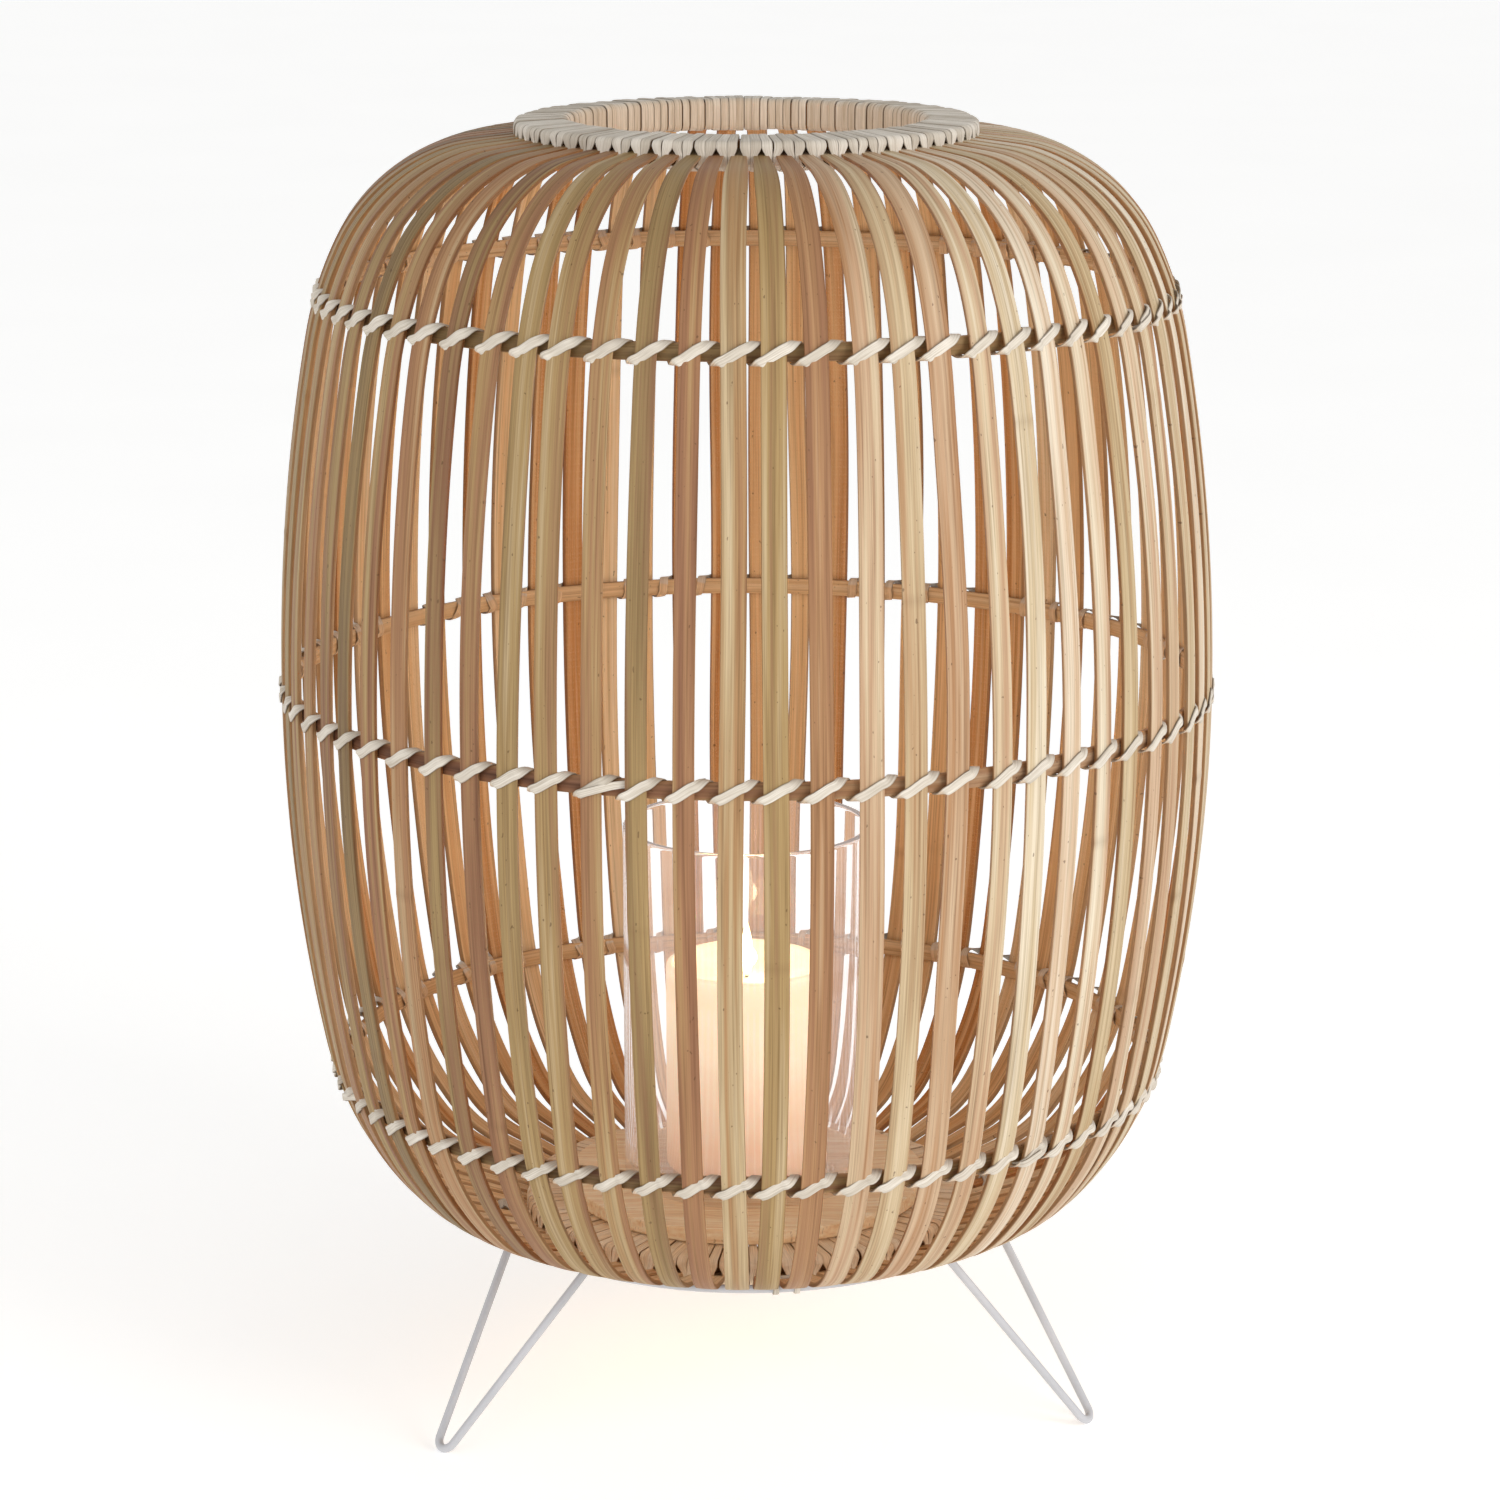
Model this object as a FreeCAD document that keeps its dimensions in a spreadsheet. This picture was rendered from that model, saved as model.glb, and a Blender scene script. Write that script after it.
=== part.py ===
"""Woven bamboo floor lantern: a slatted cage on a wire stand, with a candle in a glass inside it.

Millimetres, +Z up. The origin is on the floor, on the lantern's axis. +X is the lantern's right
and -Y is its front. Every size comes from the sheet "sizes": the driving dimensions are plain
numbers, and the values below them are worked out from those.
"""
import FreeCAD, Part
import math
import os

import Sketcher

DRIVING = [
    # The cage. Radii and rises are measured on the middle of a slat's thickness unless they say outer.
    ("slat_count", 68, "slats round the cage"),
    ("slats_per_bundle", 2, "neighbouring slats kept in one node"),
    ("first_slat_azimuth", -91.8, "azimuth of the first slat, anticlockwise from +X"),
    ("slat_width", 10, "width across the belly"),
    ("slat_end_width", 6.6, "width at the ends, which are shaved to fit the rings"),
    ("slat_thickness", 2.5, ""),
    ("taper_run", 56, "radial length over which a slat narrows"),
    ("belly_overhang", 140, "outer radius of the cage less the radius of its mouth"),
    ("upper_belly_rise", 172.4, "height of the flat arc above the widest level"),
    ("upper_belly_lean", 10.5, "lean from vertical where that arc ends"),
    ("upper_shoulder_radius", 164.8, ""),
    ("upper_shoulder_lean", 26.6, "lean from vertical where the shoulder arc ends"),
    ("upper_crown_radius", 84.3, ""),
    ("upper_crown_lean", 78.7, "lean from vertical where the slat runs straight to the ring"),
    ("lower_belly_rise", 168, "height of the flat arc below the widest level"),
    ("lower_belly_lean", 11.5, ""),
    ("lower_shoulder_radius", 141.8, ""),
    ("lower_shoulder_lean", 43.1, ""),
    ("lower_crown_radius", 56.3, ""),
    ("lower_crown_lean", 74.9, ""),
    # The two wrapped rings.
    ("mouth_radius", 82, "inner radius of both rings"),
    ("ring_width", 28, "radial width of a ring"),
    ("ring_height", 16.3, "height of a ring at its inner wall"),
    ("ring_face_drop", 2, "fall of a ring's outer face from the mouth to the rim"),
    ("top_ring_bevel", 12, "radial width of the bevel under the top ring's rim"),
    ("bottom_ring_bevel", 2, "radial width of the bevel over the bottom ring's rim"),
    ("wrap_thickness", 1.5, "thickness of the rattan wrapping"),
    ("slat_end_inset", 13, "a slat ends this far outside the mouth"),
    # The hoops inside the slats and their lashing.
    ("hoop_height", 8, ""),
    ("hoop_thickness", 3, ""),
    ("upper_hoop_rise", 18, "upper hoop above the end of the upper belly arc"),
    ("middle_hoop_rise", 3.4, "middle hoop above the widest level"),
    ("lower_hoop_fall", 16.3, "lower hoop below the end of the lower belly arc"),
    ("strip_width", 3.2, "width of a rattan lashing strip"),
    ("strip_thickness", 0.8, ""),
    ("strip_slope", 30, "angle at which a strip crosses a slat"),
    # The board, the glass and the candle.
    ("board_overlap", 5.6, "the board laps over the bottom ring by this much"),
    ("board_thickness", 7, ""),
    ("board_edge_radius", 0.8, ""),
    ("glass_radius", 60, "outer radius"),
    ("glass_height", 177, ""),
    ("glass_wall", 3, ""),
    ("glass_rim_share", 0.4, "share of the wall that is rounded at each edge of the rim"),
    ("glass_base", 5, ""),
    ("candle_radius", 39.5, ""),
    ("candle_height", 105, ""),
    ("candle_rim", 5, "width of the rim round the melted pool"),
    ("pool_depth", 9.5, ""),
    ("wick_radius", 1, ""),
    ("wick_stand", 9, "wick above the pool"),
    ("wick_foot", 4, "wax left under the wick"),
    # The wire stand.
    ("wire_radius", 2, ""),
    ("stand_height", 87.6, "centre of the wire ring above the floor"),
    ("stand_ring_gap", 11, "centre of the wire ring outside the rings' rim"),
    ("leg_count", 3, ""),
    ("leg_splay", 59, "a foot stands this far outside the wire ring"),
    ("leg_half_spread", 15, "half the angle between a leg's two arms, at the wire ring"),
    ("leg_bend_radius", 6, "inside the foot, on the wire's centre"),
    ("first_leg_azimuth", -143.5, ""),
    ("slats_per_tie", 17, "a rattan tie at every so many slats holds the cage on the wire ring"),
    ("first_tied_slat", 2, "counted from the first slat, which is 0"),
    ("tie_share", 0.75, "share of the gap between two slats that a strand of a tie fills"),
    # Clearances.
    ("seat_gap", 0.3, "between a piece and the seat that carries it"),
    ("strip_gap", 0.7, "between a lashing strip and the slat that it crosses"),
    ("weld_gap", 0.05, "left between wires that are welded"),
    ("wick_gap", 0.1, "between the wick and its hole"),
]

DERIVED = [
    ("slat_pitch", "360 / slat_count"),
    ("bundle_count", "slat_count / slats_per_bundle"),
    ("half_slat", "slat_thickness / 2"),
    ("ring_radius", "mouth_radius + ring_width"),
    ("slat_end_radius", "mouth_radius + slat_end_inset"),
    ("taper_radius", "slat_end_radius + taper_run"),
    ("stand_ring_radius", "ring_radius + stand_ring_gap"),
    ("widest_radius", "mouth_radius + belly_overhang - half_slat"),
    # Lower half of a slat, from the widest level down to the bottom ring: radii first.
    ("lower_belly_radius", "lower_belly_rise / sin(lower_belly_lean)"),
    ("low_a_radius", "widest_radius - lower_belly_radius * (1 - cos(lower_belly_lean))"),
    ("low_b_radius",
     "low_a_radius - lower_shoulder_radius * (cos(lower_belly_lean) - cos(lower_shoulder_lean))"),
    ("low_c_radius",
     "low_b_radius - lower_crown_radius * (cos(lower_shoulder_lean) - cos(lower_crown_lean))"),
    # The slat lies on the wire ring, and its levels follow from the ring's.
    ("slat_over_ring",
     "stand_height + (wire_radius + seat_gap + half_slat) / sin(lower_crown_lean)"),
    ("low_end_level",
     "slat_over_ring - (stand_ring_radius - slat_end_radius) / tan(lower_crown_lean)"),
    ("low_c_level", "slat_over_ring + (low_c_radius - stand_ring_radius) / tan(lower_crown_lean)"),
    ("low_b_level",
     "low_c_level + lower_crown_radius * (sin(lower_crown_lean) - sin(lower_shoulder_lean))"),
    ("low_a_level",
     "low_b_level + lower_shoulder_radius * (sin(lower_shoulder_lean) - sin(lower_belly_lean))"),
    ("widest_level", "low_a_level + lower_belly_rise"),
    # Upper half of a slat, from the widest level up to the top ring.
    ("upper_belly_radius", "upper_belly_rise / sin(upper_belly_lean)"),
    ("up_a_radius", "widest_radius - upper_belly_radius * (1 - cos(upper_belly_lean))"),
    ("up_a_level", "widest_level + upper_belly_rise"),
    ("up_b_radius",
     "up_a_radius - upper_shoulder_radius * (cos(upper_belly_lean) - cos(upper_shoulder_lean))"),
    ("up_b_level",
     "up_a_level + upper_shoulder_radius * (sin(upper_shoulder_lean) - sin(upper_belly_lean))"),
    ("up_c_radius",
     "up_b_radius - upper_crown_radius * (cos(upper_shoulder_lean) - cos(upper_crown_lean))"),
    ("up_c_level",
     "up_b_level + upper_crown_radius * (sin(upper_crown_lean) - sin(upper_shoulder_lean))"),
    ("up_end_level", "up_c_level + (up_c_radius - slat_end_radius) / tan(upper_crown_lean)"),
    # Centres of the two shoulder arcs, which the upper and lower hoops lie behind.
    ("up_centre_radius", "up_a_radius - upper_shoulder_radius * cos(upper_belly_lean)"),
    ("up_centre_level", "up_a_level - upper_shoulder_radius * sin(upper_belly_lean)"),
    ("low_centre_radius", "low_a_radius - lower_shoulder_radius * cos(lower_belly_lean)"),
    ("low_centre_level", "low_a_level + lower_shoulder_radius * sin(lower_belly_lean)"),
    ("upper_hoop_level", "up_a_level + upper_hoop_rise"),
    ("middle_hoop_level", "widest_level + middle_hoop_rise"),
    ("lower_hoop_level", "low_a_level - lower_hoop_fall"),
    # Inner face of a slat where each hoop's nearest edge meets it, and outer face at the far edge.
    ("upper_hoop_radius",
     "up_centre_radius - seat_gap + sqrt((upper_shoulder_radius - half_slat)^2"
     " - (upper_hoop_level + hoop_height / 2 - up_centre_level)^2)"),
    ("middle_hoop_radius",
     "widest_radius - upper_belly_radius - seat_gap + sqrt((upper_belly_radius - half_slat)^2"
     " - (middle_hoop_rise + hoop_height / 2)^2)"),
    ("lower_hoop_radius",
     "low_centre_radius - seat_gap + sqrt((lower_shoulder_radius - half_slat)^2"
     " - (low_centre_level - lower_hoop_level + hoop_height / 2)^2)"),
    ("upper_strip_radius",
     "up_centre_radius + strip_gap + sqrt((upper_shoulder_radius + half_slat)^2"
     " - (upper_hoop_level - hoop_height / 2 - up_centre_level)^2)"),
    ("middle_strip_radius", "widest_radius + half_slat + strip_gap"),
    ("lower_strip_radius",
     "low_centre_radius + strip_gap + sqrt((lower_shoulder_radius + half_slat)^2"
     " - (low_centre_level - lower_hoop_level - hoop_height / 2)^2)"),
    # Half the length of one turn of lashing, so that its ends clear the hoop.
    ("strip_reach", "(hoop_height / 2 + strip_gap / 2 + strip_width / 2 * cos(strip_slope))"
     " / sin(strip_slope)"),
    # The seats of the rings' cores, the board, the glass, the candle and the wick.
    ("top_ring_base", "up_end_level + half_slat / sin(upper_crown_lean) + seat_gap + wrap_thickness"
     " + ring_face_drop * slat_end_inset / ring_width - ring_height"),
    ("bottom_ring_base", "low_end_level - half_slat / sin(lower_crown_lean) - seat_gap"
     " - wrap_thickness - ring_face_drop * slat_end_inset / ring_width"),
    ("board_radius", "mouth_radius + board_overlap"),
    ("board_base", "bottom_ring_base + ring_height + seat_gap"),
    ("glass_seat", "board_base + board_thickness + seat_gap"),
    ("candle_seat", "glass_seat + glass_base + seat_gap"),
    ("wick_seat", "candle_seat + wick_foot + wick_gap"),
    ("wick_length", "candle_height - pool_depth - wick_foot - wick_gap + wick_stand"),
    # A leg's plane leans out from the chord between its two arms down to the foot.
    ("foot_radius", "stand_ring_radius + leg_splay"),
    ("leg_reach", "foot_radius - stand_ring_radius * cos(leg_half_spread)"),
    ("leg_rise", "stand_height - wire_radius"),
    ("leg_tilt", "atan(leg_rise / leg_reach)"),
    ("leg_length", "sqrt(leg_reach^2 + leg_rise^2)"),
    ("leg_half_chord", "stand_ring_radius * sin(leg_half_spread)"),
    # An arm leaves the bend on the tangent from its top end.
    ("arm_span", "sqrt(leg_half_chord^2 + (leg_length - leg_bend_radius)^2)"),
    ("arm_lean", "asin(leg_bend_radius / arm_span) + atan(leg_half_chord / (leg_length - leg_bend_radius))"),
    ("arm_start_x", "leg_bend_radius * cos(arm_lean)"),
    ("arm_start_y", "leg_bend_radius - leg_bend_radius * sin(arm_lean)"),
    # A tie crosses the slat beside it and hooks under the wire ring.
    ("slat_width_at_tie",
     "slat_end_width + (slat_width - slat_end_width) * (stand_ring_radius - slat_end_radius) / taper_run"),
    ("tie_half_inner", "slat_width_at_tie / 2 + seat_gap"),
    ("tie_strand", "tie_share * (2 * pi * stand_ring_radius / slat_count - 2 * tie_half_inner)"),
    ("tie_top", "slat_over_ring + half_slat / sin(lower_crown_lean) + seat_gap"
     " + (wire_radius + seat_gap) / tan(lower_crown_lean)"),
    ("tie_count", "slat_count / slats_per_tie"),
    ("tie_step", "slats_per_tie * slat_pitch"),
    ("tie_first_azimuth", "first_slat_azimuth + first_tied_slat * slat_pitch"),
    # Enough for a cut to both sides of any plane through the origin.
    ("cut_length", "4 * (top_ring_base + ring_height)"),
]

SHEET = "sizes"
doc = FreeCAD.newDocument("bamboo_lantern")


def make_sheet():
    """The sheet of driving dimensions, followed by the values worked out from them."""
    table = doc.addObject("Spreadsheet::Sheet", SHEET)
    row = 1
    for alias, number, note in DRIVING:
        table.set("A%d" % row, alias)
        table.set("B%d" % row, str(number))
        table.set("C%d" % row, note)
        table.setAlias("B%d" % row, alias)
        row += 1
    for alias, formula in DERIVED:
        table.set("A%d" % row, alias)
        table.set("B%d" % row, "=" + formula)
        table.setAlias("B%d" % row, alias)
        row += 1
    doc.recompute()
    return table


def in_sheet(formula):
    """A formula on the sheet's aliases, rewritten so that other objects can use it."""
    words = []
    word = ""
    for letter in formula + " ":
        if letter.isalnum() or letter == "_":
            word += letter
            continue
        words.append(SHEET + "." + word if word in ALIASES else word)
        words.append(letter)
        word = ""
    return "".join(words).strip()


def number(formula):
    """The present value of a formula on the sheet's aliases."""
    return float(sheet.evalExpression(formula))


ALIASES = {entry[0] for entry in DRIVING + DERIVED}
sheet = make_sheet()


# ---------------------------------------------------------------- sketches and features

def bind(thing, prop, formula):
    thing.setExpression(prop, in_sheet(formula))


def place(thing, level="0", azimuth="0"):
    """Puts a sub-part at a level on the lantern's axis, turned to an azimuth."""
    thing.Placement = FreeCAD.Placement(
        FreeCAD.Vector(0, 0, number(level)),
        FreeCAD.Rotation(FreeCAD.Vector(0, 0, 1), number(azimuth)))
    bind(thing, "Placement.Base.z", level)
    bind(thing, "Placement.Rotation.Angle", azimuth)


def new_body(label):
    body = doc.addObject("PartDesign::Body", label)
    body.Label = label
    body.AllowCompound = True
    return body


def origin_part(body, role):
    return next(item for item in body.Origin.OriginFeatures if item.Role == role)


def new_sketch(body, name, plane):
    sketch = body.newObject("Sketcher::SketchObject", name)
    sketch.AttachmentSupport = [(origin_part(body, plane), "")]
    sketch.MapMode = "FlatFace"
    return sketch


def pin_point(sketch, edge, end, x, y):
    """Fixes one end of an edge at (x, y), each a formula on the sheet."""
    across = sketch.addConstraint(Sketcher.Constraint("DistanceX", -1, 1, edge, end, number(x)))
    sketch.setExpression("Constraints[%d]" % across, in_sheet(x))
    along = sketch.addConstraint(Sketcher.Constraint("DistanceY", -1, 1, edge, end, number(y)))
    sketch.setExpression("Constraints[%d]" % along, in_sheet(y))


def polygon(sketch, corners):
    """A closed outline through corners given as pairs of formulas."""
    spots = [FreeCAD.Vector(number(x), number(y), 0) for x, y in corners]
    first = sketch.GeometryCount
    count = len(spots)
    for index in range(count):
        sketch.addGeometry(Part.LineSegment(spots[index], spots[(index + 1) % count]), False)
    for index, (x, y) in enumerate(corners):
        before = first + (index - 1) % count
        sketch.addConstraint(Sketcher.Constraint("Coincident", before, 2, first + index, 1))
        pin_point(sketch, first + index, 1, x, y)


def circle(sketch, radius):
    edge = sketch.addGeometry(
        Part.Circle(FreeCAD.Vector(0, 0, 0), FreeCAD.Vector(0, 0, 1), number(radius)), False)
    sketch.addConstraint(Sketcher.Constraint("Coincident", edge, 3, -1, 1))
    size = sketch.addConstraint(Sketcher.Constraint("Radius", edge, number(radius)))
    sketch.setExpression("Constraints[%d]" % size, in_sheet(radius))


def arc_between(start, end, radius, left):
    """The short arc of a radius from start to end, with its centre to the left or right of the way."""
    middle = (start + end) * 0.5
    half = (end - start).Length / 2
    sideways = FreeCAD.Vector(start.y - end.y, end.x - start.x, 0).normalize()
    drop = math.sqrt(radius ** 2 - half ** 2)
    centre = middle + sideways * (drop if left else -drop)
    crest = centre + (middle - centre).normalize() * radius
    return Part.Arc(start, crest, end), centre


def arc_chain(sketch, corners, radii, left):
    """Arcs through the corners in turn, then a straight run where the radius is None."""
    spots = [FreeCAD.Vector(number(x), number(y), 0) for x, y in corners]
    for index, radius in enumerate(radii):
        if radius is None:
            sketch.addGeometry(Part.LineSegment(spots[index], spots[index + 1]), False)
            ends = (1, 2)
        else:
            arc, centre = arc_between(spots[index], spots[index + 1], number(radius), left)
            sketch.addGeometry(arc, False)
            # An arc is stored anticlockwise, so one that turns right starts at its far end.
            ends = (1, 2) if left else (2, 1)
            size = sketch.addConstraint(Sketcher.Constraint("Radius", index, number(radius)))
            sketch.setExpression("Constraints[%d]" % size, in_sheet(radius))
        if index == 0:
            pin_point(sketch, index, ends[0], *corners[0])
        else:
            sketch.addConstraint(Sketcher.Constraint("Coincident", index - 1, last_end, index, ends[0]))
        pin_point(sketch, index, ends[1], *corners[index + 1])
        last_end = ends[1]


def revolve(body, sketch, name):
    """Turns a sketch of the XZ plane round the body's own Z axis."""
    solid = body.newObject("PartDesign::Revolution", name)
    solid.Profile = sketch
    solid.ReferenceAxis = (origin_part(body, "Z_Axis"), [""])
    solid.Angle = 360
    return solid


def pad(body, sketch, name, length, middle=False):
    solid = body.newObject("PartDesign::Pad", name)
    solid.Profile = sketch
    if middle:
        solid.SideType = "Symmetric"
    bind(solid, "Length", length)
    return solid


def cut_through(body, sketch, name, length):
    """Cuts a sketch's outlines away to both sides of its plane."""
    pocket = body.newObject("PartDesign::Pocket", name)
    pocket.Profile = sketch
    pocket.SideType = "Symmetric"
    bind(pocket, "Length", length)
    return pocket


def polar_pattern(body, name, count, step, originals=None):
    """Repeats the body's features, or all that it holds, round its Z axis at a step in degrees."""
    pattern = body.newObject("PartDesign::PolarPattern", name)
    if originals:
        pattern.Originals = originals
    else:
        pattern.TransformMode = "Whole shape"
    pattern.Axis = (origin_part(body, "Z_Axis"), [""])
    pattern.Mode = "Spacing"
    bind(pattern, "Offset", step)
    bind(pattern, "Occurrences", count)
    body.Tip = pattern
    return pattern


# ---------------------------------------------------------------- the cage

LOWER_HALF = [("widest_radius", "widest_level"), ("low_a_radius", "low_a_level"),
              ("low_b_radius", "low_b_level"), ("low_c_radius", "low_c_level"),
              ("slat_end_radius", "low_end_level")]
UPPER_HALF = [("widest_radius", "widest_level"), ("up_a_radius", "up_a_level"),
              ("up_b_radius", "up_b_level"), ("up_c_radius", "up_c_level"),
              ("slat_end_radius", "up_end_level")]


def slat_half(body, section, name, corners, radii, left):
    """Half a slat: its rectangular section swept from the widest level to one ring."""
    path = new_sketch(body, name + "_path", "XZ_Plane")
    arc_chain(path, corners, radii, left)
    doc.recompute()
    sweep = body.newObject("PartDesign::AdditivePipe", name)
    sweep.Profile = section
    sweep.Spine = (path, ["Edge%d" % (edge + 1) for edge in range(len(radii))])
    return sweep


def make_slats(label, azimuth):
    """One bundle of neighbouring slats. Their ends are shaved narrower, to fit side by side."""
    body = new_body(label)
    section = new_sketch(body, label + "_section", "XY_Plane")
    section.AttachmentOffset = FreeCAD.Placement(
        FreeCAD.Vector(0, 0, number("widest_level")), FreeCAD.Rotation())
    bind(section, "AttachmentOffset.Base.z", "widest_level")
    polygon(section, [("widest_radius - half_slat", "-slat_width / 2"),
                      ("widest_radius + half_slat", "-slat_width / 2"),
                      ("widest_radius + half_slat", "slat_width / 2"),
                      ("widest_radius - half_slat", "slat_width / 2")])
    slat_half(body, section, label + "_lower", LOWER_HALF,
              ["lower_belly_radius", "lower_shoulder_radius", "lower_crown_radius", None], False)
    slat_half(body, section, label + "_upper", UPPER_HALF,
              ["upper_belly_radius", "upper_shoulder_radius", "upper_crown_radius", None], True)
    taper = new_sketch(body, label + "_taper", "XY_Plane")
    for side in ("", "-"):
        polygon(taper, [("slat_end_radius - slat_thickness", side + "slat_end_width / 2"),
                        ("slat_end_radius", side + "slat_end_width / 2"),
                        ("taper_radius", side + "slat_width / 2"),
                        ("taper_radius", side + "slat_width"),
                        ("slat_end_radius - slat_thickness", side + "slat_width")])
    doc.recompute()
    cut_through(body, taper, label + "_shave", "cut_length")
    polar_pattern(body, label + "_bundle", "slats_per_bundle", "slat_pitch")
    place(body, azimuth=azimuth)
    return body


def make_hoop(label, radius, level):
    """A flat bamboo hoop inside the slats."""
    body = new_body(label)
    section = new_sketch(body, label + "_section", "XZ_Plane")
    inside = radius + " - hoop_thickness"
    polygon(section, [(inside, "-hoop_height / 2"), (radius, "-hoop_height / 2"),
                      (radius, "hoop_height / 2"), (inside, "hoop_height / 2")])
    revolve(body, section, label + "_turned")
    place(body, level)
    return body


def make_lashing(label, outside, inside, level):
    """The rattan strip that ties the slats to a hoop, as one closed turn at each crossing.

    A turn leans across the slat, over the hoop beside it and back under the hoop on the other side.
    """
    body = new_body(label)
    outline = new_sketch(body, label + "_turn", "XY_Plane")
    outline.AttachmentOffset = FreeCAD.Placement(
        FreeCAD.Vector(0, 0, 0), FreeCAD.Rotation(FreeCAD.Vector(1, 0, 0), number("strip_slope")))
    bind(outline, "AttachmentOffset.Rotation.Angle", "strip_slope")
    # The strip's back is straight, so it lies behind the hoop's inner face at the ends of the turn.
    behind_hoop = "sqrt((%s - hoop_thickness)^2 - (strip_reach * cos(strip_slope))^2)" % inside
    for shell in ("", " + strip_thickness"):
        near = "%s - seat_gap - (0%s)" % (behind_hoop, shell)
        far = outside + shell
        reach = "(strip_reach%s)" % shell
        polygon(outline, [(near, "-" + reach), (far, "-" + reach), (far, reach), (near, reach)])
    doc.recompute()
    pad(body, outline, label + "_strip", "strip_width", middle=True)
    polar_pattern(body, label + "_turns", "slat_count", "slat_pitch")
    place(body, level, "first_slat_azimuth")
    return body


# ---------------------------------------------------------------- the wrapped rings

def ring_outline(side, end_level, lean, base, bevel):
    """Section of a ring's wrapping, open outwards where the slats go in.

    side is 1 for the top ring and -1 for the bottom ring, which is turned over.
    """
    def slot(radius, away):
        reach = "(half_slat / sin(%s) + seat_gap)" % lean
        fall = "(%s - slat_end_radius) / tan(%s)" % (radius, lean)
        return "%s - %d * (%s) + %d * %s" % (end_level, side, fall, away * side, reach)

    slot_end = "slat_end_radius - seat_gap"
    outer_face = "%s + ring_height" % base if side == 1 else base
    inner_face = base if side == 1 else "%s + ring_height" % base
    return [("mouth_radius", inner_face),
            ("mouth_radius", outer_face),
            ("ring_radius", "%s - %d * ring_face_drop" % (outer_face, side)),
            ("ring_radius", slot("ring_radius", 1)),
            (slot_end, slot(slot_end, 1)),
            ("mouth_radius + wrap_thickness", slot(slot_end, 1)),
            ("mouth_radius + wrap_thickness", "%s + %d * wrap_thickness" % (inner_face, side)),
            (slot_end, "%s + %d * wrap_thickness" % (inner_face, side)),
            (slot_end, slot(slot_end, -1)),
            ("ring_radius", slot("ring_radius", -1)),
            ("ring_radius", "%s - %d * wrap_thickness" % (slot("ring_radius", -1), side)),
            ("ring_radius - %s" % bevel, inner_face)]


def make_ring_wrap(label, side, end_level, lean, base, bevel):
    body = new_body(label)
    section = new_sketch(body, label + "_section", "XZ_Plane")
    polygon(section, ring_outline(side, end_level, lean, base, bevel))
    revolve(body, section, label + "_turned")
    place(body)
    return body


def make_ring_core(label, side, end_level, lean, base):
    """The cane hoop inside a ring's wrapping, which the slat ends butt against."""
    body = new_body(label)
    section = new_sketch(body, label + "_section", "XZ_Plane")
    inner_face = base if side == 1 else "%s + ring_height" % base
    floor = "%s + %d * (wrap_thickness + seat_gap)" % (inner_face, side)
    roof = "%s + %d * half_slat / sin(%s)" % (end_level, side, lean)
    near = "mouth_radius + wrap_thickness + seat_gap"
    far = "slat_end_radius - 2 * seat_gap"
    polygon(section, [(near, floor), (far, floor), (far, roof), (near, roof)])
    revolve(body, section, label + "_turned")
    place(body)
    return body


# ---------------------------------------------------------------- the board, glass and candle

def make_board():
    """The round board on the bottom ring."""
    body = new_body("base_board")
    outline = new_sketch(body, "board_outline", "XY_Plane")
    circle(outline, "board_radius")
    doc.recompute()
    disc = pad(body, outline, "board_disc", "board_thickness")
    doc.recompute()
    rim = ["Edge%d" % (index + 1) for index, edge in enumerate(disc.Shape.Edges)
           if edge.Closed]
    rounding = body.newObject("PartDesign::Fillet", "board_rounding")
    rounding.Base = (disc, rim)
    bind(rounding, "Radius", "board_edge_radius")
    place(body, "board_base")
    return body


def make_glass():
    """The clear cylinder, closed at its foot, with a rounded rim."""
    body = new_body("glass_cylinder")
    section = new_sketch(body, "glass_section", "XZ_Plane")
    inside = "glass_radius - glass_wall"
    polygon(section, [("0", "0"), ("glass_radius", "0"), ("glass_radius", "glass_height"),
                      (inside, "glass_height"), (inside, "glass_base"), ("0", "glass_base")])
    tube = revolve(body, section, "glass_tube")
    doc.recompute()
    mouth = ["Edge%d" % (index + 1) for index, edge in enumerate(tube.Shape.Edges)
             if edge.Closed and edge.BoundBox.ZMin > number("glass_height") - 0.001]
    rim = body.newObject("PartDesign::Fillet", "glass_rim")
    rim.Base = (tube, mouth)
    bind(rim, "Radius", "glass_wall * glass_rim_share")
    place(body, "glass_seat")
    return body


def make_candle():
    """The pillar candle: a rim round a melted pool, and a hole for the wick."""
    body = new_body("candle")
    section = new_sketch(body, "candle_section", "XZ_Plane")
    hole = "wick_radius + wick_gap"
    pool = "candle_height - pool_depth"
    polygon(section, [("0", "0"), ("candle_radius", "0"), ("candle_radius", "candle_height"),
                      ("candle_radius - candle_rim", "candle_height"),
                      ("candle_radius - 2 * candle_rim", pool), (hole, pool),
                      (hole, "wick_foot"), ("0", "wick_foot")])
    revolve(body, section, "candle_turned")
    place(body, "candle_seat")
    return body


def make_wick():
    wick = doc.addObject("Part::Cylinder", "wick")
    wick.Label = "wick"
    bind(wick, "Radius", "wick_radius")
    bind(wick, "Height", "wick_length")
    place(wick, "wick_seat")
    return wick


# ---------------------------------------------------------------- the wire stand

def wire_torus(name, thickness):
    torus = doc.addObject("Part::Torus", name)
    torus.Label = name
    bind(torus, "Radius1", "stand_ring_radius")
    bind(torus, "Radius2", thickness)
    place(torus, "stand_height")
    return torus


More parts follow.
